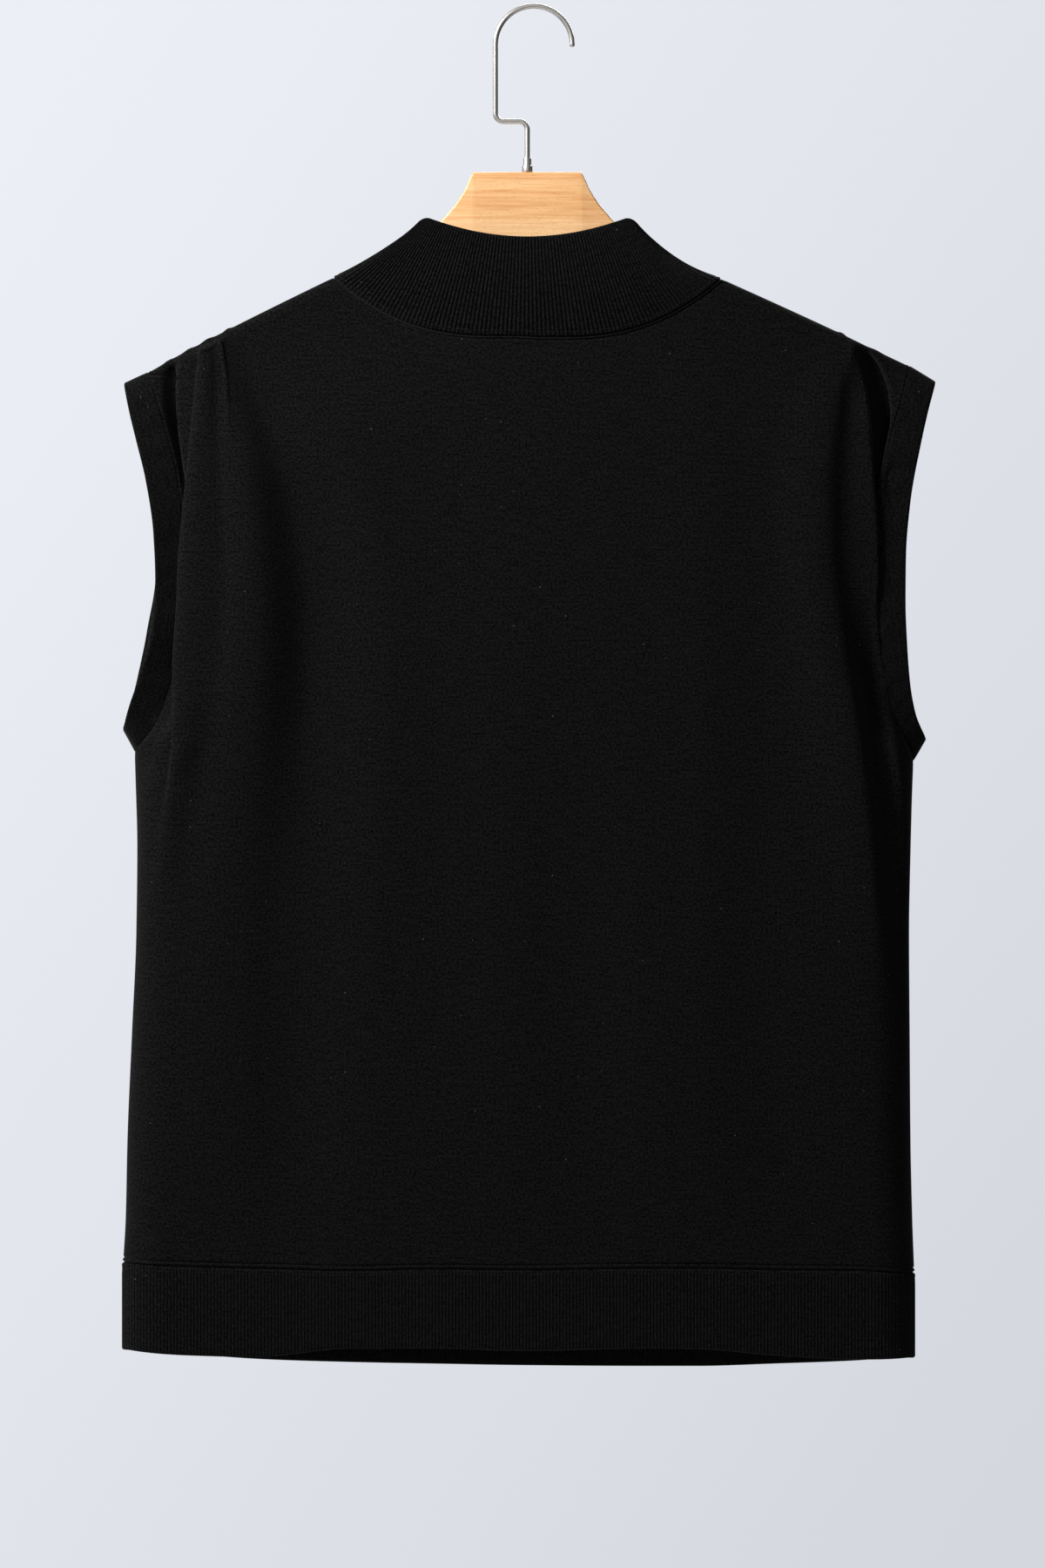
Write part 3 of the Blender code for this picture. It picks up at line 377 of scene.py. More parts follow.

# Soft creases placed one by one: those of the back as they show, similar ones on the front.
CREASES = {
    Face.BACK: table(
        Crease,
        (138, -235, 150, -700, -1.7, 21), (110, -240, 118, -600, 0.9, 22),
        (24, -430, 36, -775, -1.8, 24), (-58, -240, -52, -700, -1.4, 24),
        (84, -540, 104, -770, 1, 30), (-134, -600, -142, -775, -1.4, 22),
        (-96, -360, -70, -560, 0.7, 30), (150, -640, 168, -775, -1, 24),
        (-8, -211, 12, -212, -0.7, 3.5), (-232, -452, -240, -480, -2.2, 5),
        (226, -452, 234, -462, -1.2, 2.6), (-219, -436, -233, -461, -2.4, 3.2),
        (-205, -448, -221, -476, 1.2, 4.5), (213, -440, 228, -452, -1, 2.4),
        (-190, -204.2, -206, -212.4, -1.6, 0.9), (-188.5, -207.2, -205.5, -215.8, 0.9, 0.9),
        (156, -188.2, 197, -206.4, 0.5, 0.8), (156, -190.6, 197, -208.8, -0.4, 0.7),
    ),
    Face.FRONT: table(
        Crease,
        (-118, -260, -130, -455, -1, 20), (104, -300, 118, -520, -1.1, 22),
        (-20, -300, -44, -470, 0.8, 30), (30, -590, 44, -775, -1.2, 26),
        (-92, -560, -104, -760, 0.9, 26), (176, -520, 186, -720, -1.1, 20),
        (232, -452, 238, -480, -1.8, 5), (-10, -243, 22, -243, -0.6, 4),
    ),
}


class WoodSection(NamedTuple):
    """An upright section of the hanger's wood: its upper and lower edge."""

    reach: float
    top: float
    bottom: float


WOOD_SECTIONS = table(
    WoodSection,
    (20, -102, -161.2), (32.4, -102, -163.6), (33.6, -102.4, -163.9), (34.4, -103.3, -164.2),
    (38.5, -112.5, -165.4), (43.8, -121, -167.6), (52.2, -131, -171), (62, -140.2, -175.1),
    (80, -152, -183.5), (100, -163.2, -193.5), (120, -172.2, -202.6), (140, -181.5, -211),
    (165, -193.2, -222.3), (180, -200.2, -227), (190, -204.9, -227.7), (196, -208.4, -226),
    (200, -211.8, -222.8), (201.6, -214.6, -219.6),
)


# ---- curves and vectors


def smooth_curve(at: Array, places: Sequence[float], values: Sequence[float]) -> Array:
    """Reads a monotone cubic through a table's points, level past both ends.

    Args:
        at: Where to read the curve.
        places: The table's places, rising or falling.
        values: The table's values at those places.

    Returns:
        The curve's value at each place of `at`.
    """
    places, values = np.asarray(places, float), np.asarray(values, float)
    at = np.asarray(at, float)
    if places[0] > places[-1]:
        places, values = places[::-1], values[::-1]
    steps = np.diff(places)
    slopes = np.diff(values) / steps
    tangents = np.zeros_like(values)
    tangents[0], tangents[-1] = slopes[0], slopes[-1]
    for k in range(1, len(values) - 1):
        before, after = slopes[k - 1], slopes[k]
        if before * after > 0:
            near, far = 2 * steps[k] + steps[k - 1], steps[k] + 2 * steps[k - 1]
            tangents[k] = (near + far) / (near / before + far / after)
    inside = np.clip(at, places[0], places[-1])
    span = np.clip(np.searchsorted(places, inside) - 1, 0, len(steps) - 1)
    part = (inside - places[span]) / steps[span]
    start = (1 + 2 * part) * (1 - part) ** 2 * values[span]
    start = start + part * (1 - part) ** 2 * steps[span] * tangents[span]
    end = part**2 * (3 - 2 * part) * values[span + 1]
    return start + end + part**2 * (part - 1) * steps[span] * tangents[span + 1]


def column(rows: Sequence[NamedTuple], name: str) -> list[float]:
    """One named column of a table."""
    return [getattr(row, name) for row in rows]


def read_table(at: Array, rows: Sequence[NamedTuple], name: str) -> Array:
    """Reads a named column of a table at values of its first column."""
    return smooth_curve(at, [row[0] for row in rows], column(rows, name))


def ease(part: Array) -> Array:
    """0 at 0 and below, 1 at 1 and above, level at both."""
    part = np.clip(part, 0.0, 1.0)
    return part * part * (3 - 2 * part)


def swell(offset: Array, width: Array) -> Array:
    """A rounded bump of height 1 at offset 0 that ends at the given half width."""
    return np.cos(0.5 * math.pi * np.clip(np.abs(offset) / width, 0.0, 1.0)) ** 2


def unit(vectors: Array) -> Array:
    """The same vectors with length 1."""
    return vectors / np.maximum(np.linalg.norm(vectors, axis=-1, keepdims=True), 1e-12)


def graded(length: float, fine: tuple[float, float], coarse: float, spread: float) -> Array:
    """Places from 0 to a length, closer at the ends than in the middle.

    Args:
        length: The length to divide.
        fine: The step at the start and at the end.
        coarse: The step in the middle.
        spread: How far from each end the step reaches `coarse`.

    Returns:
        The places, the first 0 and the last `length`.
    """
    places = [0.0]
    while places[-1] < length:
        here = places[-1]
        from_start = fine[0] + (coarse - fine[0]) * float(ease(here / spread))
        from_end = fine[1] + (coarse - fine[1]) * float(ease((length - here) / spread))
        places.append(here + min(from_start, from_end, coarse))
    return np.array(places) * (length / places[-1])


def near(points: Array, curve: Array) -> Array:
    """Distance from each point of a grid to the nearest point of a curve.

    Args:
        points: The grid, rows of points.
        curve: The curve's points.

    Returns:
        A distance for each point of the grid.
    """
    found = np.empty(points.shape[:2])
    for i, row in enumerate(points):
        found[i] = np.linalg.norm(row[:, None] - curve[None], axis=2).min(axis=1)
    return found


def run_along(points: Array, closed: bool) -> Array:
    """Distance along a line of points, with the closing step last if it is closed."""
    ends = np.concatenate([points, points[:1]]) if closed else points
    return np.concatenate([[0.0], np.cumsum(np.linalg.norm(np.diff(ends, axis=0), axis=1))])


def read_along(run: Array, values: Array, places: Array) -> Array:
    """Reads the values at a closed line's points at other places along it.

    Args:
        run: Distance along the line, from `run_along`.
        values: A number or vector for each point.
        places: Distances at which to read.

    Returns:
        A number or vector for each place.
    """
    ends = np.concatenate([values, values[:1]])
    flat = ends.reshape(len(ends), -1).astype(float)
    found = [np.interp(places, run, flat[:, k]) for k in range(flat.shape[1])]
    return np.stack(found, axis=1).reshape((len(places),) + values.shape[1:])


# ---- the pattern


@dataclass(frozen=True)
class Pattern:
    """The garment's form as it hangs: every piece takes its shape from here."""

    centre_x: float = -4.0
    neck_reach: float = 120.0
    neck_dip_back: float = 36.5
    neck_dip_front: float = 67.0
    neck_flat: float = 20.0
    neck_bend: float = 2.4
    crest_radius: float = 9.5
    crest_tip_radius: float = 5.0
    crest_tip_from: float = 206.0
    crest_settle: float = 110.0
    crease_ends: float = 0.35
    crest_squareness: float = 3.0
    crest_roundness: float = 2.0
    crest_round_from: float = 200.0
    crest_tip_to: float = 236.0
    side_turn: float = 26.0
    armhole_turn: float = 46.0
    armhole_gap_width: float = 12.5
    armhole_gap_shape: float = 0.35
    front_bulge: dict[int, float] = pair(4.5, 0.8)
    underarm_from: float = 0.8
    seam_fade: float = 3.6
    crest_fade: float = 8.0
    front_fold_share: float = 0.8
    seam_overlap: float = 0.12
    least_depth: float = 1.7
    bulge_low: float = 2.0

    def crest_height(self, side: Side, reach: Array) -> Array:
        """Height of the shoulder line."""
        height = read_table(reach, SHOULDER, side.name.lower())
        for bump in CREST_BUMPS[side]:
            height = height + bump.rise * swell(reach - bump.reach, bump.width)
        return height

    def neck_height(self, side: Side, face: Face, reach: Array) -> Array:
        """Height of the neck seam: level in the middle, climbing to the shoulder line."""
        span = self.neck_reach - self.neck_flat
        climb = np.clip((np.abs(reach) - self.neck_flat) / span, 0.0, 1.0) ** self.neck_bend
        dip = self.neck_dip_back if face == Face.BACK else self.neck_dip_front
        return self.crest_height(side, self.neck_reach) - dip * (1 - climb)

    def armhole_at(self, side: Side, part: Array) -> list[Array]:
        """Seam reach and height, then edge reach and height, part of the way down the armhole."""
        rows = ARMHOLES[side]
        seam = np.array([(row.seam_reach, row.seam_height) for row in rows])
        run = run_along(seam, closed=False)
        return [smooth_curve(part, run / run[-1], column(rows, name)) for name in Armhole._fields]

    def armhole_part(self, side: Side, height: Array) -> Array:
        """How far down the armhole its seam reaches a height."""
        parts = np.linspace(0.0, 1.0, 600)
        return np.interp(-height, -self.armhole_at(side, parts)[1], parts)

    def armhole_gap(self, part: Array) -> Array:
        """Half the space between front and back edges, closed at the shoulder and underarm."""
        swelled = np.clip(4 * part * (1 - part), 0.0, 1.0) ** self.armhole_gap_shape
        return self.armhole_gap_width * swelled

    def bulge(self, side: Side, part: Array) -> Array:
        """How much further out the front's armhole runs, most of it in the lower half."""
        lowered = np.clip(part, 0.0, 1.0) ** self.bulge_low
        return self.front_bulge[side] * np.sin(math.pi * lowered) ** 2

    def side_reach(self, side: Side, height: Array) -> Array:
        """Reach of the side seam at a height."""
        underarm = ARMHOLES[side][-1]
        heights = [underarm.seam_height] + column(SIDES, "place")
        reaches = [underarm.seam_reach] + column(SIDES, side.name.lower())
        return smooth_curve(height, heights, reaches)

    def hem_height(self, across: Array, name: str) -> Array:
        """Height of the hem seam or of one of the hem band's edges."""
        return read_table(across, HEM, name)

    def body_depth(self, face: Face, height: Array) -> Array:
        """How far the flat of the panel stands from the middle plane."""
        return read_table(height, DEPTHS, face.name.lower())

    def crest_depth(
        self, side: Side, face: Face, reach: Array, height: Array
    ) -> Array:
        """Depth below the shoulder line: over the hanger's edge, then easing to the body."""
        to_tip = ease((reach - self.crest_tip_from) / (self.crest_tip_to - self.crest_tip_from))
        radius = self.crest_radius + (self.crest_tip_radius - self.crest_radius) * to_tip
        span = self.crest_tip_to - self.crest_round_from
        to_round = ease((reach - self.crest_round_from) / span)
        power = self.crest_squareness + (self.crest_roundness - self.crest_squareness) * to_round
        below = np.maximum(self.crest_height(side, reach) - height, 0.0)
        arch = (1 - np.clip(below / radius, 0.0, 1.0)) ** power
        turn = radius * (1 - arch) ** (1 / power)
        rest = np.maximum(self.body_depth(face, height) - radius, 0.0)
        return turn + rest * ease(below / self.crest_settle)

    def folded(
        self,
        side: Side,
        face: Face,
        reach: Array,
        height: Array,
        depth: Array,
        to_edge: Array,
    ) -> tuple[Array, Array]:
        """Moves cloth over the folds of a side.

        Args:
            side: The side of the garment.
            face: The panel. The hidden one's folds are a little less.
            reach: Reach of each point.
            height: Height of each point.
            depth: Depth of each point.
            to_edge: Distance of each point from the armhole or side seam.

        Returns:
            The moved reach and depth.
        """
        share = 1.0 if face == Face.BACK else self.front_fold_share
        below = np.maximum(self.crest_height(side, reach) - height, 0.0)
        fade = share * ease(to_edge / self.seam_fade) * ease(below / self.crest_fade)
        moved_reach, moved_depth = reach.copy(), depth.copy()
        for rows in FOLDS[side]:
            columns = (read_table(height, rows, name) for name in Fold._fields[1:])
            line, rise, inner, outer, lean = columns
            offset = reach - line
            bump = fade * swell(offset, np.where(offset < 0, inner, outer))
            moved_reach = moved_reach + lean * bump
            moved_depth = moved_depth + rise * bump
        return moved_reach, np.maximum(moved_depth, np.minimum(depth, self.least_depth))

    def creased(self, face: Face, points: Array, to_seam: Array) -> Array:
        """Lift of the soft creases at each point of a panel.

        Args:
            face: The panel.
            points: The panel's grid.
            to_seam: Distance of each point from the nearest seam, where creases fade.

        Returns:
            The distance to move each point off the middle plane.
        """
        lift = np.zeros(points.shape[:2])
        flat = points[:, :, (0, 2)]
        for row in CREASES[face]:
            start = np.array((row.across + self.centre_x, row.top))
            along = np.array((row.across_low - row.across, row.low - row.top))
            length = float(np.hypot(*along))
            part = ((flat - start) @ along) / length**2
            nearest = start + np.clip(part, 0.0, 1.0)[..., None] * along
            apart = np.linalg.norm(flat - nearest, axis=2)
            middle = np.sin(math.pi * np.clip(part, 0.0, 1.0))
            taper = self.crease_ends + (1 - self.crease_ends) * middle
            lift += row.rise * taper * swell(apart, 2.0 * row.width)
        return lift * ease(to_seam / self.crest_fade)


# ---- cloth as a mesh


class Grid(NamedTuple):
    """A sheet of points with a flat place on the cloth, in metres, for each."""

    points: Array
    flat: Array


def link_object(name: str, data: ID) -> Object:
    """Puts a mesh, light or camera in the scene as a new object at the origin."""
    made = bpy.data.objects.new(name, data)
    bpy.context.scene.collection.objects.link(made)
    return made


def mesh_of(name: str, points: Array, faces: Array, flat: Array) -> Object:
    """Makes a smooth closed mesh with a UV map of the cloth's flat places.

    Args:
        name: The object's name.
        points: The points, in millimetres.
        faces: The corners of each four-sided face.
        flat: The flat place of each corner of each face, in metres.

    Returns:
        The new object, with its faces outwards.
    """
    corners = points[faces] * MM
    a, b, c = (corners[:, k] - corners[:, 0] for k in (1, 2, 3))
    if np.sum((np.cross(a, b) + np.cross(b, c)) * corners[:, 0]) < 0:
        faces, flat = faces[:, ::-1], flat[:, ::-1]
    mesh = bpy.data.meshes.new(name)
    mesh.vertices.add(len(points))
    mesh.vertices.foreach_set("co", (points * MM).astype(np.float32).ravel())
    mesh.loops.add(faces.size)
    mesh.loops.foreach_set("vertex_index", faces.astype(np.int32).ravel())
    mesh.polygons.add(len(faces))
    mesh.polygons.foreach_set("loop_start", np.arange(0, faces.size, 4, dtype=np.int32))
    layer = mesh.uv_layers.new(name=UV_NAME)
    layer.data.foreach_set("uv", np.ascontiguousarray(flat, np.float32).ravel())
    mesh.update(calc_edges=True)
    mesh.validate()
    mesh.shade_smooth()
    return link_object(name, mesh)


def grid_faces(rows: int, columns: int, first: int = 0, wrap: bool = False) -> Array:
    """Corner numbers of the faces of a grid.

    Args:
        rows: Rows of points.
        columns: Points in a row.
        first: The number of the grid's first point.
        wrap: Whether the last row joins the first, and the last column too.

    Returns:
        Four corners for each face.
    """
    i = np.arange(rows if wrap else rows - 1)[:, None]
    k = np.arange(columns if wrap else columns - 1)[None]
    below, after = (i + 1) % rows, (k + 1) % columns
    corners = [i * columns + k, below * columns + k, below * columns + after, i * columns + after]
    return first + np.stack(np.broadcast_arrays(*corners), axis=-1).reshape(-1, 4)


def grid_normals(points: Array, wrap: bool) -> Array:
    """Normals of a grid, from its rows and columns. Wrap joins the last column to the first."""
    along = np.gradient(points, axis=0)
    if wrap:
        across = np.roll(points, -1, axis=1) - np.roll(points, 1, axis=1)
    else:
        across = np.gradient(points, axis=1)
    return unit(np.cross(across, along))


def sheet_object(name: str, outer: Array, inner: Array, flat: Array) -> Object:
    """Makes a cloth wall between two grids of points, with rims along its four edges.

    Args:
        name: The object's name.
        outer: The grid of the outer face.
        inner: The grid of the inner face.
        flat: The flat place of each grid point, in metres.

    Returns:
        The new object.
    """
    rows, columns = outer.shape[:2]
    count = rows * columns
    faces = [grid_faces(rows, columns), grid_faces(rows, columns, count)[:, ::-1]]
    number = np.arange(count).reshape(rows, columns)
    edges = (number[0, ::-1], number[-1], number[:, 0], number[::-1, -1])
    for edge in edges:
        a, b = edge[:-1], edge[1:]
        faces.append(np.stack([a, b, b + count, a + count], axis=1))
    faces = np.concatenate(faces)
    points = np.concatenate([outer.reshape(-1, 3), inner.reshape(-1, 3)])
    places = np.concatenate([flat.reshape(-1, 2)] * 2)
    made = mesh_of(name, points, faces, places[faces])
    made.data.set_sharp_from_angle(angle=math.radians(70.0))
    return made


def tube_object(name: str, rows: Array, flat: Array) -> Object:
    """Makes a ring of cloth from rows of points that go round its wall and back to the first.

    Args:
        name: The object's name.
        rows: The rows, each a closed ring of points.
        flat: The flat place of each point, in metres, with one more row and column to close it.

    Returns:
        The new object.
    """
    count, columns = rows.shape[:2]
    faces = grid_faces(count, columns, wrap=True)
    place = grid_faces(count + 1, columns + 1)
    return mesh_of(name, rows.reshape(-1, 3), faces, flat.reshape(-1, 2)[place])


@dataclass
class Seam:
    """The closed line where two pieces meet, with the frame that both share."""

    points: Array
    faces: Array
    parts: Array
    away: Array = field(default=None)
    out: Array = field(default=None)

    def set_frame(self, following: Array, outwards: Array) -> None:
        """Works out the way off the body and the way out of the cloth.

        Args:
            following: The ring's next row of points.
            outwards: For each point, a direction that is roughly out of the cloth.
        """
        along = unit(np.roll(self.points, -1, axis=0) - np.roll(self.points, 1, axis=0))
        middle = np.abs(self.points[:, 1]) < TINY
        along[middle] = (0.0, 1.0, 0.0) * np.sign(along[middle][:, 1:2])
        away = following - self.points
        self.away = unit(away - along * np.sum(away * along, axis=1, keepdims=True))
        out = np.cross(along, self.away)
        flip = np.where(np.sum(out * outwards, axis=1, keepdims=True) < 0, -1.0, 1.0)
        self.out = out * flip

    def length(self) -> float:
        """The length of the closed line."""
        return float(run_along(self.points, closed=True)[-1])

    def resampled(self, count: int) -> "Seam":
        """The same seam with evenly spaced points.

        Args:
            count: The number of points.

        Returns:
            The new seam, with its frame carried over.
        """
        run = run_along(self.points, closed=True)
        places = np.linspace(0.0, run[-1], count, endpoint=False)
        read = partial(read_along, run, places=places)
        faces = np.where(read(self.faces) < 0, Face.BACK, Face.FRONT)
        made = Seam(read(self.points), faces, read(self.parts))
        made.away, made.out = unit(read(self.away)), unit(read(self.out))
        return made


# ---- node materials


def linear(colour: str) -> tuple[float, float, float, float]:
    """Turns an sRGB hex colour into linear light.

    Args:
        colour: Six hex digits.

    Returns:
        Red, green, blue and an alpha of 1.
    """
    parts = [int(colour[k : k + 2], 16) / 255 for k in (0, 2, 4)]
    light = [c / 12.92 if c <= 0.04045 else ((c + 0.055) / 1.055) ** 2.4 for c in parts]
    return (*light, 1.0)


def join(tree: NodeTree, node: Node, inputs: dict) -> None:
    """Sets a node's inputs.

    Args:
        tree: The node tree.
        node: The node.
        inputs: For inputs by name or number, a value, or the socket or node to link. Of a node it
            takes the first output in use.
    """
    for name, value in inputs.items():
        if isinstance(value, Node):
            value = next(socket for socket in value.outputs if socket.enabled)
        if isinstance(value, NodeSocket):
            tree.links.new(value, node.inputs[name])
        else:
            node.inputs[name].default_value = value


def add(tree: NodeTree, kind: str, inputs: dict | None = None, **settings: object) -> Node:
    """Adds a node.

    Args:
        tree: The node tree.
        kind: The node's type, without "ShaderNode".
        inputs: Its inputs, as for `join`.
        settings: The node's own settings.

    Returns:
        The new node.
    """
    made = tree.nodes.new("ShaderNode" + kind)
    for name, value in settings.items():
        setattr(made, name, value)
    join(tree, made, inputs or {})
    return made


@dataclass(frozen=True)
class Finish:
    """A finish: its name, colour and gloss. Each kind adds its own pattern."""

    name: str
    colour: str
    roughness: float
    metallic: float = 0.0
    specular: float = 0.5

    def material(self) -> Material:
        """The finish's material, made when it is first asked for."""
        found = bpy.data.materials.get(self.name)
        if found:
            return found
        made = bpy.data.materials.new(self.name)
        made.use_nodes = True
        tree = made.node_tree
        shader = tree.nodes["Principled BSDF"]
        gloss = {"Roughness": self.roughness, "Metallic": self.metallic}
        if not self.metallic:
            gloss["Specular IOR Level"] = self.specular
        join(tree, shader, {"Base Color": linear(self.colour), **gloss})
        self.pattern(tree, shader)
        return made

    def pattern(self, tree: NodeTree, shader: Node) -> None:
        """Adds the finish's pattern.

        Args:
            tree: The material's node tree.
            shader: Its shader.
        """


@dataclass(frozen=True)
class KnitFinish(Finish):
    """Cotton knit: rows of V stitches with painted shade in their gaps, a little fuzz, uneven dye
    and a few lint specks.

    The cloth's flat places are read from its UV map, in metres. A real sweatshirt knit has wales of
    about 1.1 mm, which is near the size of a pixel, so the mottling and the faint rows across the
    wales are drawn a little coarser to show. Lengths are in millimetres.
    """

    light_colour: str = "111111"
    lint_colour: str = "4C4C4C"
    wale: float = 1.1
    course: float = 0.85
    leg_slant: float = 1.4
    loop_height: float = 0.25
    ridge_height: float = 0.4
    stitch_height: float = 0.10
    stitch_strength: float = 0.8
    # Painted shade and light: factors on the colour, darker in the stitch gaps and lighter on the
    # loops.
    gap_painted_shade: float = 0.86
    loop_painted_light: float = 1.10
    mottle: float = 1.4
    row: float = 1.6
    row_share: float = 0.2
    row_stretch: float = 0.12
    tone_spread: tuple[float, float] = (0.39, 0.61)
    sheen: float = 0.035
    sheen_roughness: float = 0.5
    sheen_tint: str = "F2F2F2"
    lint_spacing: float = 8.0
    lint_size: float = 0.048
    lint_missing: float = 0.35
    fibre_spacing: float = 26.0
    fibre_size: float = 0.009
    fibre_missing: float = 0.55
    fibre_turn: float = 0.6
    fibre_squeeze: float = 0.14

    def pattern(self, tree: NodeTree, shader: Node) -> None:
        """Adds the stitches with their painted shade and light, the mottling, lint and sheen."""
        node = partial(add, tree)
        place = node("UVMap", uv_map=UV_NAME)
        height = self.stitches(node, place)
        tone = self.mottling(node, place)
        # Painted shade: the stitches' height darkens the colour in their gaps and lightens it on
        # the loops.
        ends = {"To Min": self.gap_painted_shade, "To Max": self.loop_painted_light}
        shade = node("MapRange", {"Value": height, **ends})
        tones = {"Factor": tone, 6: linear(self.colour), 7: linear(self.light_colour)}
        dyed = node("Mix", tones, data_type="RGBA")
        shades = {"Factor": 1.0, 6: dyed, 7: shade}
        shaded = node("Mix", shades, data_type="RGBA", blend_type="MULTIPLY")
        specks = {"Factor": self.lint(node, place), 6: shaded, 7: linear(self.lint_colour)}
        coloured = node("Mix", specks, data_type="RGBA")
        depth = {"Distance": self.stitch_height * MM, "Strength": self.stitch_strength}
        bump = node("Bump", {"Height": height, **depth})
        sheen = {"Sheen Weight": self.sheen, "Sheen Roughness": self.sheen_roughness}
        sheen["Sheen Tint"] = linear(self.sheen_tint)
        join(tree, shader, {"Base Color": coloured, "Normal": bump, **sheen})

    def stitches(self, node: Adder, place: Node) -> Node:
        """The height of the V stitches, from 0 in the gaps to 1 on the loops.

        Args:
            node: Adds a node to the material's tree.
            place: The cloth's flat places.

        Returns:
            The node that gives the height.
        """
        split = node("SeparateXYZ", {"Vector": place}).outputs
        wales = node("Math", {0: split["X"], 1: 1 / (self.wale * MM)}, operation="MULTIPLY")
        courses = node("Math", {0: split["Y"], 1: 1 / (self.course * MM)}, operation="MULTIPLY")
        leg = node("Math", {0: wales, 1: 0.5}, operation="PINGPONG")
        slant = node("Math", {0: leg, 1: self.leg_slant, 2: courses}, operation="MULTIPLY_ADD")
        turned = node("Math", {0: slant, 1: 2 * math.pi}, operation="MULTIPLY")
        loop = node("Math", {0: turned}, operation="SINE")
        loops = node("Math", {0: loop, 1: self.loop_height, 2: 0.5}, operation="MULTIPLY_ADD")
        around = node("Math", {0: leg, 1: 2 * math.pi}, operation="MULTIPLY")
        ridge = node("Math", {0: around}, operation="SINE")
        return node("Math", {0: ridge, 1: self.ridge_height, 2: loops}, operation="MULTIPLY_ADD")

    def mottling(self, node: Adder, place: Node) -> Node:
        """Uneven dye and fuzz: grains, and faint rows across the wales.

        Args:
            node: Adds a node to the material's tree.
            place: The cloth's flat places.

        Returns:
            The node that gives the tone, from 0 in dark spots to 1 in light ones.
        """
        grain = {"Scale": 1 / (self.mottle * MM), "Detail": 2.0, "Roughness": 0.6}
        grains = node("TexNoise", {"Vector": place, **grain})
        stretched = node("Mapping", {"Vector": place, "Scale": (self.row_stretch, 1.0, 1.0)})
        streak = {"Scale": 1 / (self.row * MM), "Detail": 2.0}
        rows = node("TexNoise", {"Vector": stretched, **streak})
        both = node("Mix", {"Factor": self.row_share, 2: grains, 3: rows}, data_type="FLOAT")
        low, high = self.tone_spread
        return node("MapRange", {"Value": both, "From Min": low, "From Max": high})

    def lint(self, node: Adder, place: Node) -> Node:
        """Specks of lint and short fibres, each in some of the squares of its spacing.

        Args:
            node: Adds a node to the material's tree.
            place: The cloth's flat places.

        Returns:
            The node that gives 1 on a speck or fibre and 0 beside it.
        """
        lint = (self.lint_spacing, self.lint_missing, self.lint_size)
        turn = {"Rotation": (0.0, 0.0, self.fibre_turn), "Scale": (1.0, self.fibre_squeeze, 1.0)}
        turned = node("Mapping", {"Vector": place, **turn})
        fibre = (self.fibre_spacing, self.fibre_missing, self.fibre_size)
        specks, fibres = self.scattered(node, place, *lint), self.scattered(node, turned, *fibre)
        return node("Math", {0: specks, 1: fibres}, operation="MAXIMUM")

    def scattered(
        self, node: Adder, place: Node, spacing: float, missing: float, most: float
    ) -> Node:
        """Small spots, at most one in each square of a grid.

        Args:
            node: Adds a node to the material's tree.
            place: The cloth's flat places.
            spacing: The side of a square, in millimetres.
            missing: The share of the squares that hold none.
            most: The largest spot's radius, as a share of the spacing.

        Returns:
            The node that gives 1 on a spot and 0 beside it.
        """
        cells = node("TexVoronoi", {"Vector": place, "Scale": 1 / (spacing * MM)}, feature="F1")
        chance = node("SeparateColor", {"Color": cells.outputs["Color"]})
        sizes = {"From Min": missing, "To Min": 0.0, "To Max": most}
        size = node("MapRange", {"Value": chance, **sizes})
        return node("Math", {0: cells, 1: size}, operation="LESS_THAN")


@dataclass(frozen=True)
class RibFinish(KnitFinish):
    """One by one rib: the ribs are modelled, and their grooves are painted darker, as shade."""

    rib: float = 2.07
    loop_height: float = 0.12
    ridge_height: float = 0.5

    def stitches(self, node: Adder, place: Node) -> Node:
        """The height of the ribs' loops: high along each rib's middle, low in its grooves."""
        split, turn = node("SeparateXYZ", {"Vector": place}).outputs, 2 * math.pi
        turns = node("Math", {0: split["X"], 1: turn / (self.rib * MM)}, operation="MULTIPLY")
        ridge = node("Math", {0: turns}, operation="COSINE")
        courses = node("Math", {0: split["Y"], 1: turn / (self.course * MM)}, operation="MULTIPLY")
        loop = node("Math", {0: courses}, operation="SINE")
        loops = node("Math", {0: loop, 1: self.loop_height, 2: 0.5}, operation="MULTIPLY_ADD")
        return node("Math", {0: ridge, 1: self.ridge_height, 2: loops}, operation="MULTIPLY_ADD")


@dataclass(frozen=True)
class ThreadFinish(Finish):
    """Spun polyester sewing thread: a little shine on its twist."""

    twist: float = 0.6
    twist_height: float = 0.05

    def pattern(self, tree: NodeTree, shader: Node) -> None:
        """Adds the twist of the thread."""
        place = add(tree, "TexCoord").outputs["Object"]
        twist = {"Scale": 1 / (self.twist * MM * 2 * math.pi), "Distortion": 1.0}
        bands = add(tree, "TexWave", {"Vector": place, **twist}, bands_direction="DIAGONAL")
        depth = {"Distance": self.twist_height * MM, "Strength": 0.5}
        bump = add(tree, "Bump", {"Height": bands.outputs["Fac"], **depth})
        join(tree, shader, {"Normal": bump})


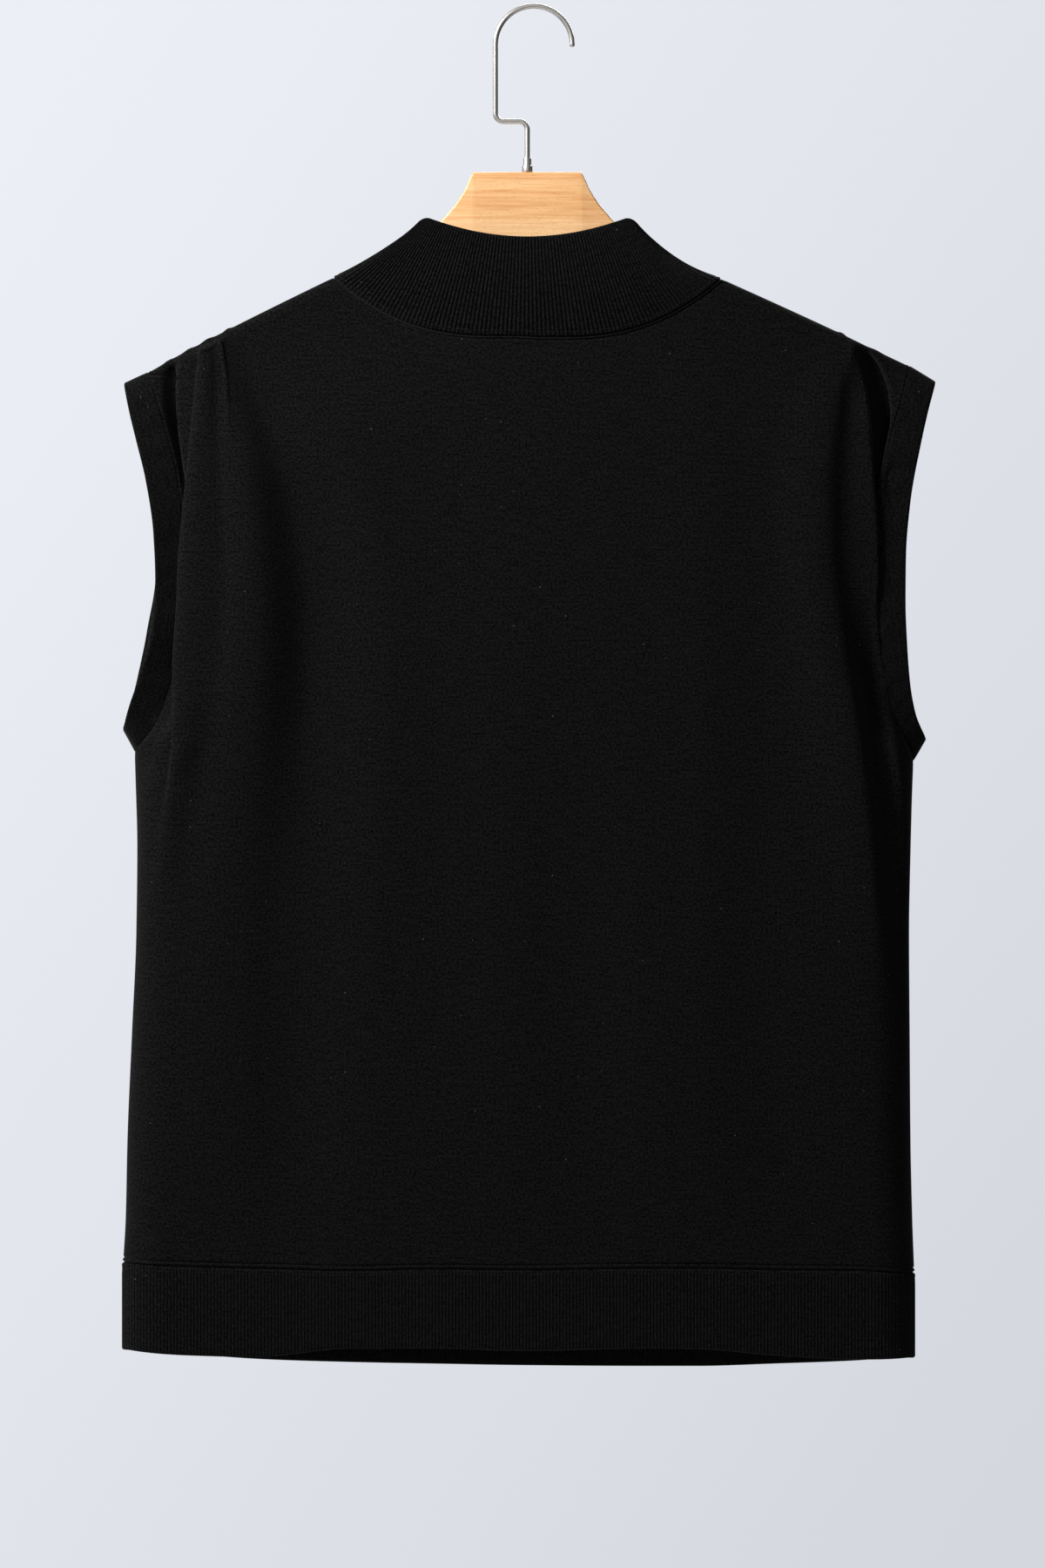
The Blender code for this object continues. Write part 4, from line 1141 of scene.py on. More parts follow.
@dataclass(frozen=True)
class BeechFinish(Finish):
    """Sanded beech under clear varnish: straight grain along the hanger and short dark flecks."""

    dark_colour: str = "C98F57"
    fleck_colour: str = "9A6536"
    grain: float = 1.6
    grain_stretch: float = 0.035
    figure: float = 14.4
    figure_share: float = 0.45
    tone_spread: tuple[float, float] = (0.36, 0.64)
    fleck: float = 1.1
    fleck_rim: tuple[float, float] = (0.10, 0.24)
    fleck_most: float = 0.45
    fleck_stretch: float = 0.22
    pore_depth: float = 0.06
    pore_strength: float = 0.3
    coat: float = 0.25
    coat_roughness: float = 0.25

    def pattern(self, tree: NodeTree, shader: Node) -> None:
        """Adds the grain, the flecks and the varnish."""
        node = partial(add, tree)
        place = node("TexCoord").outputs["Object"]
        along = node("Mapping", {"Vector": place, "Scale": (self.grain_stretch, 1.0, 1.0)})
        fine = {"Scale": 1 / (self.grain * MM), "Detail": 4.0, "Roughness": 0.6, "Distortion": 0.3}
        grain = node("TexNoise", {"Vector": along, **fine})
        wide = {"Scale": 1 / (self.figure * MM), "Detail": 2.0}
        figure = node("TexNoise", {"Vector": along, **wide})
        both = node("Mix", {"Factor": self.figure_share, 2: grain, 3: figure}, data_type="FLOAT")
        low, high = self.tone_spread
        tone = node("MapRange", {"Value": both, "From Min": low, "From Max": high})
        tones = {"Factor": tone, 6: linear(self.colour), 7: linear(self.dark_colour)}
        wood = node("Mix", tones, data_type="RGBA")
        short = node("Mapping", {"Vector": place, "Scale": (self.fleck_stretch, 1.0, 1.0)})
        cells = node("TexVoronoi", {"Vector": short, "Scale": 1 / (self.fleck * MM)})
        core, rim = self.fleck_rim
        dark = {"From Min": core, "From Max": rim, "To Min": self.fleck_most, "To Max": 0.0}
        fleck = node("MapRange", {"Value": cells, **dark})
        flecks = {"Factor": fleck, 6: wood, 7: linear(self.fleck_colour)}
        flecked = node("Mix", flecks, data_type="RGBA")
        depth = {"Distance": self.pore_depth * MM, "Strength": self.pore_strength}
        bump = node("Bump", {"Height": grain, **depth})
        varnish = {"Coat Weight": self.coat, "Coat Roughness": self.coat_roughness}
        join(tree, shader, {"Base Color": flecked, "Normal": bump, **varnish})


@dataclass(frozen=True)
class NickelFinish(Finish):
    """Nickel plate on drawn steel wire: bright and warm grey, with fine drawing marks."""

    mark: float = 0.5
    mark_depth: float = 0.02
    mark_strength: float = 0.25
    smoother: float = 0.08
    rougher: float = 0.10

    def pattern(self, tree: NodeTree, shader: Node) -> None:
        """Adds the drawing marks and a slightly uneven gloss."""
        place = add(tree, "TexCoord").outputs["Object"]
        fine = {"Scale": 1 / (self.mark * MM), "Detail": 3.0}
        marks = add(tree, "TexNoise", {"Vector": place, **fine})
        ends = {"To Min": self.roughness - self.smoother, "To Max": self.roughness + self.rougher}
        gloss = add(tree, "MapRange", {"Value": marks, **ends})
        depth = {"Distance": self.mark_depth * MM, "Strength": self.mark_strength}
        bump = add(tree, "Bump", {"Height": marks, **depth})
        join(tree, shader, {"Roughness": gloss, "Normal": bump})


@dataclass(frozen=True)
class FloorFinish(Finish):
    """Matt painted floor: pale, with a hardly visible unevenness."""

    patch: float = 180.0

    def pattern(self, tree: NodeTree, shader: Node) -> None:
        """Adds the unevenness of the paint."""
        place = add(tree, "TexCoord").outputs["Object"]
        patches = add(tree, "TexNoise", {"Vector": place, "Scale": 1 / (self.patch * MM)})
        ends = {"To Min": self.roughness - 0.05, "To Max": self.roughness + 0.05}
        join(tree, shader, {"Roughness": add(tree, "MapRange", {"Value": patches, **ends})})


# Black sweatshirt knit: so dark that its folds show by their soft sheen more than by their shade.
JERSEY = KnitFinish("black_cotton_sweatshirt_knit", colour="010101", roughness=0.95, specular=0.03)
# Black one by one rib: painted shade darkens the grooves between the ribs towards black.
RIB = RibFinish("black_cotton_rib_knit", colour="010101", roughness=0.95, specular=0.03)
# Black polyester thread: small bright dots along the coverstitch.
THREAD = ThreadFinish("black_polyester_thread", colour="161616", roughness=0.6, specular=0.1)
# Varnished beech: warm and pale, with fine grain along the arms.
BEECH = BeechFinish("varnished_beech", colour="E7BD8B", roughness=0.42, specular=0.4)
# Nickelled steel wire: soft bright streaks along the hook.
NICKEL = NickelFinish("nickelled_steel_wire", colour="C9C5BF", roughness=0.28, metallic=1.0)
# Painted floor: it only catches the light.
FLOOR = FloorFinish("matt_painted_floor", colour="D9DBE0", roughness=0.85, specular=0.2)


def dress(piece: Object, finish: Finish, node: str | None = None) -> None:
    """Gives a piece its finish, lets it ride on the body and reports it.

    Args:
        piece: The piece.
        finish: Its finish.
        node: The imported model's node that it stands for, if there is one.
    """
    piece.data.materials.clear()
    piece.data.materials.append(finish.material())
    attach(piece, BODY)
    if node:
        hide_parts(node)
    LOG.info("%s: %d faces", piece.name, len(piece.data.polygons))


# ---- cloth pieces


@dataclass
class BodyPanel:
    """The back or front of the body: one panel of sweatshirt knit, pleated at the shoulders."""

    pattern: Pattern
    face: Face
    wall: float = 1.5
    row_fine: float = 0.55
    row_coarse: float = 3.3
    row_spread: float = 34.0
    neck_steps: tuple[float, float] = (1.0, 5.0)
    line_steps: tuple[tuple[float, float], ...] = ((2.4, 2.0), (2.0, 0.6), (0.6, 0.6), (0.6, 0.6))
    neck_spread: float = 0.4
    # The rows of the key lines and the armhole at which the spans between columns are measured.
    divided_at: tuple[int, int] = (3, 4)
    span_step: float = 2.3
    span_spread: float = 9.0
    last_span: float = 24.0
    ridge_width: float = 2.4
    seam_ridge: float = 0.32
    seam_groove: float = 1.4
    armhole_groove: float = 0.2
    seam_groove_width: float = 1.0
    stitch_groove: float = 0.80
    stitch_groove_width: float = 0.9

    def side_heights(self, side: Side) -> Array:
        """Heights of the rows' ends at a side, the one nearest the underarm exactly on it."""
        length = ARMHOLES[Side.LEFT][0].seam_height - HEM[0].seam
        places = graded(length, (self.row_fine, self.row_fine), self.row_coarse, self.row_spread)
        top = ARMHOLES[side][0].seam_height
        end = HEM[0].seam if side == Side.LEFT else HEM[-1].seam
        heights = top + (end - top) * (places / length)
        underarm = ARMHOLES[side][-1].seam_height
        heights[np.argmin(np.abs(heights - underarm))] = underarm
        return heights

    def columns(self) -> list[Array]:
        """Parts of the way across each span between the centre, the key lines and the side."""
        reach = self.pattern.neck_reach
        fine, coarse = self.neck_steps
        neck = graded(reach, (coarse, fine), coarse, self.neck_spread * reach) / reach
        line_row, armhole_row = self.divided_at
        row = KEY_LINES[Side.LEFT][line_row]
        edge = ARMHOLES[Side.LEFT][armhole_row].seam_reach + self.last_span
        ends, spans = (reach, row.trough, row.pleat, row.fold, edge), [neck]
        for inner, outer, steps in zip(ends[:-1], ends[1:], self.line_steps):
            places = graded(outer - inner, steps, self.span_step, self.span_spread)
            spans.append(places / places[-1])
        return spans

    def half(self, side: Side) -> Grid:
        """Rows of points of one half of the panel, from the centre line to the side."""
        form, edge_height = self.pattern, self.side_heights(side)
        corner = self.corner_row(side)
        falls = (edge_height - edge_height[0]) / (edge_height[-1] - edge_height[0])
        parts = form.armhole_part(side, edge_height)
        in_armhole = np.arange(len(falls)) <= corner
        parts = np.where(in_armhole, parts, 1.0)
        parts[0], parts[corner] = 0.0, 1.0
        seam_reach = form.armhole_at(side, parts)[0]
        bulge = form.bulge(side, parts) if self.face == Face.FRONT else 0.0
        edge = np.where(in_armhole, seam_reach + bulge, form.side_reach(side, edge_height))
        scale = np.where(in_armhole, edge / seam_reach, 1.0)
        gap = np.where(in_armhole, form.armhole_gap(parts), 0.0)
        closing = ease((parts - form.underarm_from) / (1 - form.underarm_from))
        open_edge = np.where(in_armhole, 1 - closing, 0.0)

        reach = self.lines(side, falls, edge, scale)
        neck_top = form.neck_height(side, self.face, reach[0])
        on_neck = reach[0] < form.neck_reach - TINY
        top = np.where(on_neck, neck_top, form.crest_height(side, reach[0]))
        bottom = form.hem_height(side * reach[-1], "seam")
        height = top[None, :] + (bottom - top)[None, :] * falls[:, None]
        height[:, -1] = edge_height
        flat = np.stack([side * reach, height], axis=-1) * MM

        to_edge = edge[:, None] - reach
        turn = form.side_turn + (form.armhole_turn - form.side_turn) * open_edge[:, None]
        power = 0.5 + 0.5 * open_edge[:, None]
        round_off = (1 - (1 - np.clip(to_edge / turn, 0.0, 1.0)) ** 2) ** power
        depth = form.crest_depth(side, self.face, reach, height)
        depth = gap[:, None] + (depth - gap[:, None]) * round_off
        depth[0, ~on_neck] = 0.0
        reach, depth = form.folded(side, self.face, reach, height, depth, to_edge)
        points = np.stack([form.centre_x + side * reach, self.face * depth, height], axis=-1)
        return Grid(points, flat)

    def lines(self, side: Side, falls: Array, edge: Array, scale: Array) -> Array:
        """Reach of each column, row by row, from the centre to the side.

        Args:
            side: The side of the garment.
            falls: Parts of the way down at which the rows stand.
            edge: Reach of the armhole or side seam at each row.
            scale: How much wider than the back this panel is at each row.

        Returns:
            Rows of reach.
        """
        form, rows = self.pattern, KEY_LINES[side]
        lines = [np.full_like(edge, form.neck_reach)]
        for name in KeyLine._fields[1:]:
            top = form.crest_height(side, getattr(rows[0], name))
            heights = top + (form.hem_height(0.0, "seam") - top) * falls
            lines.append(scale * read_table(heights, rows, name))
        lines.append(edge)
        spans = self.columns()
        columns = [lines[0] * part for part in spans[0][:-1]]
        for parts, inner, outer in zip(spans[1:], lines[:-1], lines[1:]):
            columns += [inner + (outer - inner) * part for part in parts[:-1]]
        return np.stack(columns + [edge], axis=1)

    def grid(self) -> Grid:
        """Rows of points of the whole panel, from left to right."""
        left, right = self.half(Side.LEFT), self.half(Side.RIGHT)
        middle = 0.5 * (left.points[:, 0] + right.points[:, 0])
        left.points[:, 0] = right.points[:, 0] = middle
        points = np.concatenate([left.points[:, :0:-1], right.points], axis=1)
        steps = np.linalg.norm(np.diff(points[:, :, :2], axis=1), axis=2)
        run = np.concatenate([np.zeros((len(points), 1)), np.cumsum(steps, axis=1)], axis=1)
        centre = left.points.shape[1] - 1
        across = run - run[:, centre : centre + 1]
        return Grid(points, np.stack([across, points[:, :, 2]], axis=-1) * MM)

    def neck_span(self) -> tuple[int, int]:
        """The first and last column of the neck seam."""
        spans = self.columns()
        half = sum(len(parts) - 1 for parts in spans)
        neck = len(spans[0]) - 1
        return half - neck, half + neck

    def corner_row(self, side: Side) -> int:
        """The row that stands at the underarm."""
        underarm = ARMHOLES[side][-1].seam_height
        return int(np.argmin(np.abs(self.side_heights(side) - underarm)))

    def places(self, opening: Opening, grid: Grid) -> list[tuple[int, int]]:
        """Rows and columns of the panel's points along an opening."""
        last_row, last_column = grid.points.shape[0] - 1, grid.points.shape[1] - 1
        if opening == Opening.NECK:
            first, last = self.neck_span()
            return [(0, k) for k in range(first, last + 1)]
        if opening == Opening.HEM:
            return [(last_row, k) for k in range(last_column + 1)]
        edge = 0 if opening.side == Side.LEFT else last_column
        return [(i, edge) for i in range(self.corner_row(opening.side) + 1)]

    def build(self, grid: Grid, seams: dict[Opening, Seam], finish: Finish) -> Object:
        """Makes the panel's cloth between its seams.

        Args:
            grid: The panel's middle surface.
            seams: The seams that it shares with the collar, the bands and the hem.
            finish: Its finish.

        Returns:
            The panel.
        """
        form, points = self.pattern, grid.points.copy()
        normals = grid_normals(points, wrap=False)
        if np.sum(normals[:, :, 1]) * self.face < 0:
            normals = -normals
        shift = np.zeros_like(points)
        last_row, last_column = points.shape[0] - 1, points.shape[1] - 1
        neck_first, neck_last = self.neck_span()
        apart = np.array([0.0, float(self.face), 0.0])

        # The shoulder and side seams, where front and back meet at the middle plane.
        for first, last, sign in ((0, neck_first, -1), (neck_last, last_column, 1)):
            along = unit(points[0, first + 1] - points[0, last])
            normals[0, first : last + 1] = (sign * abs(along[2]), 0.0, abs(along[0]))
            shift[0, first : last + 1] += apart
        for edge, side in ((0, Side.LEFT), (last_column, Side.RIGHT)):
            corner = self.corner_row(side)
            normals[corner : last_row + 1, edge] = (float(side), 0.0, 0.0)
            shift[corner : last_row + 1, edge] += apart

        # The neck, armhole and hem seams, whose frames the collar and bands share.
        to_seam = np.full(points.shape[:2], np.inf)
        lift = np.zeros(points.shape[:2])
        for opening, seam in seams.items():
            spots = self.places(opening, grid)
            count = len(spots)
            if self.face == Face.BACK:
                order = list(range(count))
            else:
                order = [0] + list(range(len(seam.points) - 1, count - 1, -1)) + [count - 1]
            for (i, k), which in zip(spots, order):
                normals[i, k] = seam.out[which]
                shift[i, k] -= seam.away[which]
            distance = near(grid.points, seam.points[order])
            to_seam = np.minimum(to_seam, distance)
            lift += self.seam_relief(opening, distance)
        depth = form.creased(self.face, points, to_seam)
        points[:, :, 1] += self.face * depth
        middle = points - 0.5 * form.seam_overlap * shift + lift[..., None] * normals
        wall = 0.5 * self.wall * normals
        node = f"{self.face.name.lower()}_panel"
        made = sheet_object(f"{node}_cloth", middle + wall, middle - wall, grid.flat)
        dress(made, finish, node)
        return made

    def seam_relief(self, opening: Opening, distance: Array) -> Array:
        """The seam's groove, the ridge of its allowance and the groove under its coverstitch."""
        stitch_at = STITCH_AT.get(opening, self.ridge_width)
        relief = self.seam_ridge * swell(distance - 0.5 * stitch_at, 0.5 * stitch_at)
        groove = self.seam_groove if opening in STITCH_AT else self.armhole_groove
        relief -= groove * swell(distance, self.seam_groove_width)
        if opening in STITCH_AT:
            relief -= self.stitch_groove * swell(distance - stitch_at, self.stitch_groove_width)
        return relief


@dataclass
class Ring:
    """A band of cloth round an opening, folded double at its free edge."""

    pattern: Pattern
    opening: Opening
    piece: str = ""
    node: str = ""
    slot: Slot = Slot.RIB
    wall: float = 2.6
    height: float = 53.0
    row_step: float = 4.2
    inner_steps: int = 5
    seam_step: float = 0.5
    seam_spread: float = 5.0
    seam_groove: float = 1.4
    seam_groove_width: float = 1.0
    fold_steps: int = 4

    def rows(self, seam: Seam, parts: Array) -> Array:
        """Rows of the band's middle surface.

        Args:
            seam: The seam that it is sewn to.
            parts: Parts of the way from the seam to the edge at which the rows stand.

        Returns:
            The rows of points.
        """
        raise NotImplementedError

    def outwards(self, seam: Seam) -> Array:
        """For each point of the seam, a direction that is roughly out of the cloth."""
        raise NotImplementedError

    def spread(self, seam: Seam, finish: Finish) -> tuple[int, float]:
        """How many points go round the band, and its flat width all round."""
        raise NotImplementedError

    def relief(self, seam: Seam, distance: Array) -> Array:
        """How far the faces stand off the plain wall.

        Args:
            seam: The seam.
            distance: Each row's distance from it.

        Returns:
            The lift for each row and column.
        """
        raise NotImplementedError

    def frame_seam(self, seam: Seam) -> None:
        """Gives the seam the frame that the band and the panels share."""
        following = self.rows(seam, np.array([0.0, 0.25]))[1]
        seam.set_frame(following, self.outwards(seam))

    def build(self, seam: Seam, finish: Finish) -> Object:
        """Makes the band as one wall that goes round its folded edge.

        Args:
            seam: The seam that it is sewn to, with its frame.
            finish: Its finish.

        Returns:
            The band.
        """
        columns, width = self.spread(seam, finish)
        ring, length, half = seam.resampled(columns), self.height, 0.5 * self.wall
        last = 1 - half / length
        steps = (self.seam_step, self.row_step)
        outer = graded(last * length, steps, self.row_step, self.seam_spread) / length
        inner = np.linspace(0.0, last, self.inner_steps + 1)
        sheets = []
        for parts, sign in ((inner, -1.0), (outer, 1.0)):
            middle = self.rows(ring, parts)
            normals = grid_normals(middle, wrap=True)
            if np.sum(normals * self.outwards(ring)) < 0:
                normals = -normals
            normals[0] = ring.out
            middle[0] = middle[0] - 0.5 * self.pattern.seam_overlap * ring.away
            lift = half + self.relief(ring, parts * length)
            if sign > 0:
                groove = self.seam_groove * swell(parts * length, self.seam_groove_width)
                lift = lift - groove[:, None]
            sheets.append(middle + sign * lift[..., None] * normals)
        # The fold goes round from the last row outside to the last row inside.
        edge_on, fold = unit(middle[-1] - middle[-2]), []
        for k in range(1, self.fold_steps):
            angle = math.pi * k / self.fold_steps
            out = lift[-1][:, None] * math.cos(angle) * normals[-1]
            fold.append(middle[-1] + out + half * math.sin(angle) * edge_on)
        rows = np.concatenate([sheets[1], np.array(fold), sheets[0][::-1]])
        across = np.linspace(0.0, width * MM, columns + 1)
        down = np.concatenate([outer, np.full(len(fold), 1.0), inner[::-1], [0.0]]) * length * MM
        flat = np.stack(np.broadcast_arrays(across[None, :], down[:, None]), axis=-1)
        made = tube_object(self.piece, rows, flat)
        dress(made, finish, self.node)
        return made


@dataclass
class RibRing(Ring):
    """A ring of one by one rib, with its ribs modelled."""

    rib: float = 2.07
    rib_height: float = 0.40
    points_per_rib: int = 6
    groove_at: float = 3.2
    groove: float = 0.30
    groove_width: float = 1.2
    press_from: float = 0.2
    press_spread: float = 1.6
    least_press: float = 0.25

    def relief(self, seam: Seam, distance: Array) -> Array:
        """The ribs, pressed flat where the coverstitch crosses them."""
        phase = 2 * math.pi * np.arange(len(seam.points)) / self.points_per_rib
        ribs = self.rib_height * (0.5 + 0.5 * np.cos(phase)) - 0.5 * self.rib_height
        pressed = self.groove * swell(distance - self.groove_at, self.groove_width)
        shrink = np.clip((distance - self.press_from) / self.press_spread, self.least_press, 1.0)
        return ribs[None, :] * shrink[:, None] - pressed[:, None]

    def spread(self, seam: Seam, finish: RibFinish) -> tuple[int, float]:
        """A whole number of ribs, with each rib's points and flat width."""
        ribs = int(round(seam.length() / self.rib))
        return ribs * self.points_per_rib, ribs * finish.rib


@dataclass
class Collar(RibRing):
    """The mock neck of one by one rib, which spreads towards its seam."""

    piece: str = "collar_rib"
    node: str = "collar"
    height: float = 63.0
    row_step: float = 2.6
    inner_steps: int = 10
    rib: float = 2.72
    rib_height: float = 0.50
    points_per_rib: int = 8
    top_reach: float = 68.0
    top_depth: dict[int, float] = pair(12.0, 24.0)
    top_dip: dict[int, float] = pair(15.0, 43.0)
    peak_height: float = -127.6
    corner_drop: float = 9.0
    corner_from: float = 0.88
    fan: float = 0.71
    sag: dict[int, float] = pair(2.0, 5.0)
    bow: float = 3.0
    bow_blend: float = 5.0
    oval_power: float = 3.2
    oval_root: float = 0.4

    def rows(self, seam: Seam, parts: Array) -> Array:
        """Rows of the collar from its seam up to its top edge, fanned so that its ribs spread."""
        across = seam.points[:, 0] - self.pattern.centre_x
        share = across / self.pattern.neck_reach
        narrowing = 1 - self.top_reach / (self.fan * self.pattern.neck_reach)
        top_across = self.fan * across * (1 - narrowing * share**2)
        top_share = np.abs(top_across) / self.top_reach
        oval = np.clip(1 - top_share**self.oval_power, 0.0, 1.0) ** self.oval_root
        depth = np.array([self.top_depth[face] for face in seam.faces])
        dip = np.array([self.top_dip[face] for face in seam.faces])
        corner = np.clip(top_share - self.corner_from, 0.0, None) / (1 - self.corner_from)
        height = self.peak_height - dip * (1 - top_share**2) - self.corner_drop * corner**2
        sag = np.where(across < 0, self.sag[Side.LEFT], self.sag[Side.RIGHT])
        top_x = self.pattern.centre_x + top_across
        top = np.stack([top_x, seam.faces * depth * oval, height], axis=1)
        off_shoulder = ease(np.abs(seam.points[:, 1]) / self.bow_blend)
        rows = []
        for part in parts:
            row = seam.points + (top - seam.points) * part
            bulge = math.sin(math.pi * part)
            row[:, 2] -= sag * bulge * share**2
            row[:, 1] += seam.faces * self.bow * bulge * off_shoulder
            rows.append(row)
        return np.stack(rows)

    def outwards(self, seam: Seam) -> Array:
        """Away from the middle of the neck."""
        return seam.points - (self.pattern.centre_x, 0.0, float(seam.points[0, 2]))


@dataclass
class HemBand(RibRing):
    """The hem of one by one rib, a little narrower in depth than the body above it."""

    piece: str = "hem_rib"
    node: str = "hem_band"
    draw_in: float = 0.08
    side_sharpness: float = 8.0
    side_blend: float = 10.0

    def rows(self, seam: Seam, parts: Array) -> Array:
        """Rows of the hem band from its seam down to its edge."""
        across = seam.points[:, 0] - self.pattern.centre_x
        back = self.pattern.hem_height(across, "back_edge")
        front = self.pattern.hem_height(across, "front_edge")
        middle = 0.5 * (back + front)
        blend = ease(np.abs(seam.points[:, 1]) / self.side_blend)
        low = middle + blend * (np.where(seam.faces == Face.BACK, back, front) - middle)
        reach = np.where(across < 0, -across / HEM[0].across, across / HEM[-1].across)
        narrowing = 1 - self.draw_in * (1 - np.abs(reach) ** self.side_sharpness)
        edge = np.stack([seam.points[:, 0], seam.points[:, 1] * narrowing, low], axis=1)
        return np.stack([seam.points + (edge - seam.points) * part for part in parts])

    def outwards(self, seam: Seam) -> Array:
        """Away from the middle of the body."""
        return seam.points * (1.0, 1.0, 0.0) - (self.pattern.centre_x, 0.0, 0.0)


@dataclass
class SleeveBand(Ring):
    """A plain band of sweatshirt knit round an armhole, folded double."""

    slot: Slot = Slot.JERSEY
    wall: float = 2.2
    height: float = 18.0
    row_step: float = 1.3
    inner_steps: int = 6
    seam_groove: float = 0.2
    draw_in: dict[int, float] = pair(1.48, 0.92)
    depth_weight: float = 8.0
    columns: int = 320
    pucker: float = 0.28
    pucker_length: float = 17.0
    pucker_at: float = 0.3
    pucker_width: float = 0.9
    pucker_swing: float = 1.3
    # The size and phase of a second, longer wave.
    pucker_second: tuple[float, float] = (0.6, 1.7)

    def __post_init__(self) -> None:
        """Names the band after its side."""
        self.node = f"sleeve_band_{self.opening.side.name.lower()}"
        self.piece = f"{self.node}_cloth"

    def rows(self, seam: Seam, parts: Array) -> Array:
        """Rows of the band from the armhole seam out to its edge."""
        form, side = self.pattern, self.opening.side
        _, _, reach, height = form.armhole_at(side, seam.parts)
        reach = reach + np.where(seam.faces == Face.FRONT, form.bulge(side, seam.parts), 0.0)
        depth = self.draw_in[side] * seam.points[:, 1]
        edge = np.stack([form.centre_x + side * reach, depth, height], axis=1)
        return np.stack([seam.points + (edge - seam.points) * part for part in parts])

    def outwards(self, seam: Seam) -> Array:
        """Mostly towards the front or the back: the armhole is much longer than deep."""
        middle = 0.5 * (seam.points.min(axis=0) + seam.points.max(axis=0))
        return (seam.points - middle) * (0.0, self.depth_weight, 1.0)

    def relief(self, seam: Seam, distance: Array) -> Array:
        """Shallow uneven puckers that run in from the seam, and the listed creases."""
        run = run_along(seam.points, closed=True)[:-1]
        turns = 2 * math.pi * run / run[-1]
        waves = round(run[-1] / self.pucker_length)
        uneven = np.cos(waves * turns + self.pucker_swing * np.sin(3 * turns))
        size, start = self.pucker_second
        uneven = uneven + size * np.cos(start + (waves // 2) * turns)
        fade = swell(distance - self.pucker_at * self.height, self.pucker_width * self.height)
        relief = 0.5 * self.pucker * uneven[None, :] * fade[:, None]
        across = ease(distance / (self.pucker_at * self.height))[:, None]
        for crease in BAND_CREASES[self.opening.side]:
            skew = crease.skew * (distance / self.height)[:, None]
            apart = (seam.parts[None, :] - crease.part) * 0.5 * run[-1] - skew
            relief = relief + crease.rise * across * swell(apart, crease.width)
        return relief

    def spread(self, seam: Seam, finish: Finish) -> tuple[int, float]:
        """The band's columns, and the length of its seam."""
        return self.columns, seam.length()


# ---- modelling by operator


def start_fresh() -> None:
    """Leaves edit mode and deselects everything."""
    if bpy.context.mode != "OBJECT":
        bpy.ops.object.mode_set(mode="OBJECT")
    bpy.ops.object.select_all(action="DESELECT")


def named(name: str) -> Object:
    """Names the object that was just added and puts its place in its mesh."""
    made = bpy.context.object
    made.name = made.data.name = name
    bpy.ops.object.transform_apply(location=True, rotation=True, scale=True)
    return made


def edit_faces() -> None:
    """Goes to edit mode to pick faces, with none selected."""
    bpy.ops.object.mode_set(mode="EDIT")
    bpy.ops.mesh.select_mode(type="FACE")
    bpy.ops.mesh.select_all(action="DESELECT")


def pick_faces(made: Object, test: Callable[[bmesh.types.BMFace], bool]) -> None:
    """Selects the faces in edit mode that pass a test, and no others."""
    bpy.ops.mesh.select_all(action="DESELECT")
    shape = bmesh.from_edit_mesh(made.data)
    for face in shape.faces:
        if test(face):
            face.select_set(True)
    bmesh.update_edit_mesh(made.data)


def extrude(by: Triple) -> None:
    """Extrudes the selection by a step in metres."""
    bpy.ops.mesh.extrude_region_move(TRANSFORM_OT_translate={"value": by})


def apply_modifier(made: Object, kind: str, **settings: object) -> None:
    """Adds a modifier with its settings and applies it.

    Args:
        made: The object.
        kind: The modifier's type.
        settings: Its settings.
    """
    bpy.context.view_layer.objects.active = made
    modifier = made.modifiers.new(kind.lower(), kind)
    for name, value in settings.items():
        setattr(modifier, name, value)
    bpy.ops.object.modifier_apply(modifier=modifier.name)


def smooth(made: Object, degrees: float) -> None:
    """Shades smooth, except over edges sharper than the angle."""
    start_fresh()
    made.select_set(True)
    bpy.context.view_layer.objects.active = made
    bpy.ops.object.shade_smooth_by_angle(angle=math.radians(degrees))


def cylinder(
    name: str, sides: int, size: tuple[float, float], place: tuple[float, float], turn: float = 0.0
) -> Object:
    """Adds a cylinder along Z as the start of a piece, or as a cutter.

    Args:
        name: The object's name.
        sides: The number of its sides.
        size: Its radius and length, in millimetres.
        place: X and Z of its middle, in millimetres.
        turn: Its angle about Y, in radians.

    Returns:
        The cylinder.
    """
    start_fresh()
    bpy.ops.mesh.primitive_cylinder_add(
        vertices=sides,
        radius=size[0] * MM,
        depth=size[1] * MM,
        location=(place[0] * MM, 0.0, place[1] * MM),
        rotation=(0.0, turn, 0.0),
    )
    return named(name)


def cut_out(made: Object, cutter: Object) -> None:
    """Cuts a cutter's shape out of a piece and removes the cutter."""
    start_fresh()
    apply_modifier(made, "BOOLEAN", operation="DIFFERENCE", solver="EXACT", object=cutter)
    bpy.data.objects.remove(cutter)


def round_edges(made: Object, width: float, segments: int, degrees: float) -> None:
    """Rounds a piece's edges that are sharper than an angle. The width is in millimetres."""
    limit = {"limit_method": "ANGLE", "angle_limit": math.radians(degrees)}
    apply_modifier(made, "BEVEL", width=width * MM, segments=segments, **limit)


